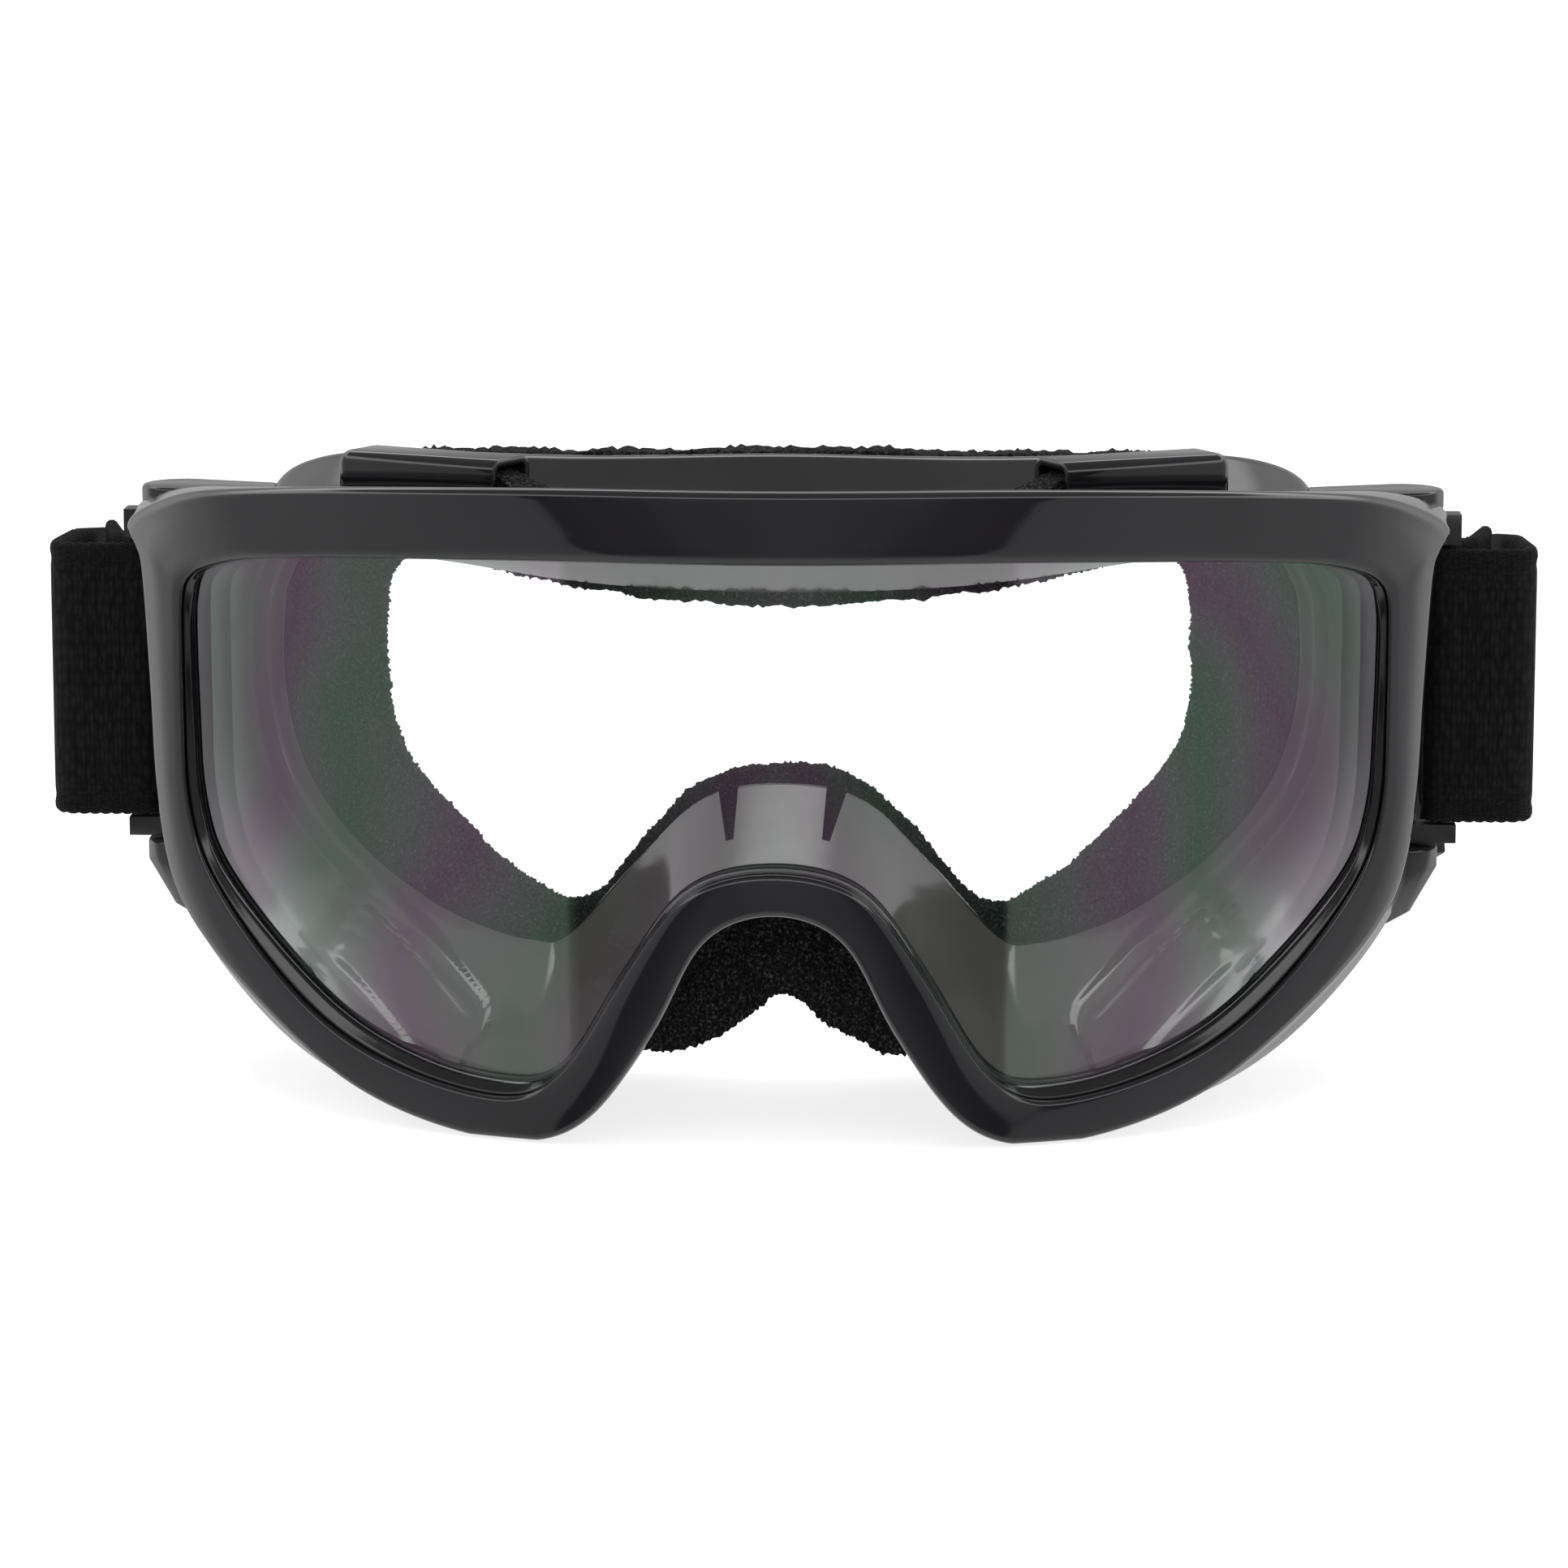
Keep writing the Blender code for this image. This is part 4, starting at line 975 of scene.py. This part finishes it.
def band_section(across, thickness):
    """A flat band's section as (across, out) points: bound edges, a groove beside each, soft corners."""
    half = across / 2
    rises = [(1.0, 0.35), (0.985, 0.8), (0.96, 1.0), (0.93, 1.02), (0.9, 0.9), (0.87, 0.84), (0.82, 0.95)]
    side = [(half * a, thickness / 2 * r) for a, r in rises]
    side += [(half * a, thickness / 2 * 0.97) for a in (0.7, 0.5, 0.3, 0.1)]
    upper = side + [(-a, r) for a, r in reversed(side)]
    return upper + [(a, -r) for a, r in reversed(upper)]


def webbing(name, path, body, stands_for=()):
    """A knitted band along a path, on edge, with slightly wavy sides."""
    section = band_section(STRAP_WIDTH, STRAP_THICKNESS)
    rows = []
    up = Vector((0, 0, 1))
    for i, point in enumerate(path):
        along = (path[min(i + 1, len(path) - 1)] - path[max(i - 1, 0)]).normalized()
        up = (up - along * up.dot(along)).normalized()
        out = up.cross(along)
        wave = 1 + 0.006 * math.sin(i * 2.1)
        knit = 1 + 0.05 * math.sin(i * 3.1416)
        rows.append([point + up * a * wave + out * r * knit for a, r in section])
    return piece(name, lofted(rows, closed=False), WEBBING, body, stands_for, sharp=60)


def strap_half(side):
    path = averaged(evenly(strap_path(side), 0.5), 4, closed=False)
    name = SIDES[side]
    return webbing(f"strap_{name}_webbing", path, f"{name}_strap", (f"strap_{name}",))


def stitches(side):
    """Two rows of thread through both layers where the webbing is sewn back on itself by the clip."""
    name = SIDES[side]
    bm = bmesh.new()
    outer = side * (STRAP_ROUTE[1][0] + 0.2)
    for y in SEAM_ROWS:
        for k in range(SEAM_STITCHES):
            past = y - SEAM_ROWS[0]
            z = STRAP_CENTRE_Z - (SEAM_STITCHES - 1) / 2 * STITCH_PITCH + k * STITCH_PITCH
            x = outer - side * (past * 0.128 - STRAP_THICKNESS / 2 - 0.02)
            seat = Matrix.Translation((x, y, z - past * 0.1)) @ Matrix.Diagonal((0.22, 0.24, 0.85, 1))
            bmesh.ops.create_uvsphere(bm, u_segments=10, v_segments=6, radius=1, matrix=seat)
    return piece(f"strap_stitching_{name}", bm, THREAD, f"{name}_strap")


# ---------------------------------------------------------------- studio

def world_light():
    """White to the camera and as light. In reflections, a grey room that changes with the heading."""
    world = bpy.data.worlds.new("studio")
    bpy.context.scene.world = world
    world.use_nodes = True
    tree = world.node_tree
    tree.nodes.clear()

    def add(kind, **settings):
        made = tree.nodes.new("ShaderNode" + kind)
        for key, value in settings.items():
            setattr(made, key, value)
        return made

    def math_node(operation, first, second=None):
        made = add("Math", operation=operation)
        for slot, source in enumerate((first, second)):
            if isinstance(source, (int, float)):
                made.inputs[slot].default_value = source
            elif source is not None:
                tree.links.new(source, made.inputs[slot])
        return made.outputs[0]

    def fade(source, low, high):
        made = add("MapRange", interpolation_type="SMOOTHSTEP")
        made.inputs["From Min"].default_value = low
        made.inputs["From Max"].default_value = high
        tree.links.new(source, made.inputs["Value"])
        return made.outputs[0]

    def blended(first, grey, share):
        made = add("MixRGB")
        made.inputs["Color2"].default_value = (grey, grey, grey, 1)
        tree.links.new(first, made.inputs["Color1"])
        tree.links.new(share, made.inputs["Fac"])
        return made.outputs["Color"]

    coords = add("TexCoord")
    split = add("SeparateXYZ")
    tree.links.new(coords.outputs["Generated"], split.inputs[0])
    forward = math_node("MULTIPLY", split.outputs["Y"], -1)
    sideways = math_node("ABSOLUTE", split.outputs["X"])
    heading = math_node("DIVIDE", math_node("ARCTAN2", sideways, forward), math.pi)
    lean = math_node("MULTIPLY", math_node("ADD", split.outputs["Z"], 0.17), 0.08)
    walls = add("ValToRGB")
    elements = walls.color_ramp.elements
    while len(elements) < len(REFLECTED_ROOM):
        elements.new(0.5)
    for element, (position, level) in zip(elements, REFLECTED_ROOM):
        element.position = position
        element.color = (level / 3, level / 3, level / 2.96, 1)
    tree.links.new(math_node("SUBTRACT", heading, lean), walls.inputs["Fac"])
    strip = blended(walls.outputs["Color"], 0.75, fade(split.outputs["Z"], 0.5, 0.6))
    over = blended(strip, 0.1, fade(split.outputs["Z"], 0.7, 0.76))
    under = blended(over, 0.32, fade(split.outputs["Z"], -0.45, -0.75))
    paths = add("LightPath")
    seen = add("Background")
    seen.inputs["Color"].default_value = (1, 1, 1, 1)
    mirrored = add("Background")
    mirrored.inputs["Strength"].default_value = 3.0
    tree.links.new(under, mirrored.inputs["Color"])
    mix = add("MixShader")
    output = add("OutputWorld")
    tree.links.new(paths.outputs["Is Glossy Ray"], mix.inputs[0])
    tree.links.new(seen.outputs[0], mix.inputs[1])
    tree.links.new(mirrored.outputs[0], mix.inputs[2])
    tree.links.new(mix.outputs[0], output.inputs["Surface"])


def softbox(name, at, aim, size, power):
    light = bpy.data.lights.new(name, "AREA")
    light.shape = "RECTANGLE"
    light.size, light.size_y = size
    light.energy = power
    lamp = bpy.data.objects.new(name, light)
    bpy.context.scene.collection.objects.link(lamp)
    lamp.location = at
    lamp.visible_glossy = False
    lamp.rotation_euler = (Vector(aim) - Vector(at)).to_track_quat("-Z", "Y").to_euler()
    return lamp


def floor():
    bm = bmesh.new()
    bmesh.ops.create_circle(bm, cap_ends=True, segments=96, radius=2.5)
    mesh = bpy.data.meshes.new("studio_floor")
    bm.to_mesh(mesh)
    bm.free()
    made = finish("floor_paper", (0.4, 0.4, 0.4), 0.9, Emission_Color=(1, 1, 1, 1), Emission_Strength=0.8)
    into(made, "Roughness", spread(made, grain(made, place(made), 40), 0.85, 0.95))
    mesh.materials.append(made)
    ground = bpy.data.objects.new("studio_floor", mesh)
    ground.location.z = -0.0002
    ground.visible_glossy = False
    bpy.context.scene.collection.objects.link(ground)


def camera():
    target = Vector(CAMERA_TARGET)
    rise, turn = math.radians(CAMERA_RISE), math.radians(CAMERA_TURN)
    data = bpy.data.cameras.new("camera")
    data.lens = 136.4
    data.sensor_width = 36
    view = bpy.data.objects.new("camera", data)
    bpy.context.scene.collection.objects.link(view)
    view.location = target + CAMERA_DISTANCE * Vector((
        math.sin(turn) * math.cos(rise), -math.cos(turn) * math.cos(rise), math.sin(rise)))
    view.rotation_euler = (target - view.location).to_track_quat("-Z", "Y").to_euler()
    bpy.context.scene.camera = view


# ---------------------------------------------------------------- assembly

front_bezel()
lens_plate()
lens_lip()
lens_gasket()
frame_body()
face_foam()
for side, name in SIDES.items():
    for level in VENT_SIZE:
        vent_hood(side, level)
        vent_filter(side, level)
        frame_ear(side, level)
    clip, slider = f"strap_clip_{name}", f"strap_slider_{name}"
    eased(f"clip_pin_{name}", f"clip_pin_{name}_steel", 0.25, STEEL, "goggles")
    eased(clip, clip + "_moulding", 0.45, PLASTIC, f"{name}_strap")
    eased(slider, slider + "_moulding", 0.4, PLASTIC, f"{name}_slider")
    strap_half(side)
    stitches(side)
eased("buckle_socket", "buckle_socket_moulding", 0.5, PLASTIC, "left_strap")
eased("buckle_plug", "buckle_plug_moulding", 0.4, PLASTIC, "right_strap")

world_light()
softbox("top_softbox", (0, -0.1, 0.9), (0, -0.05, 0.05), (1.0, 0.8), 4)
floor()
camera()
bpy.context.scene.view_settings.view_transform = "Standard"
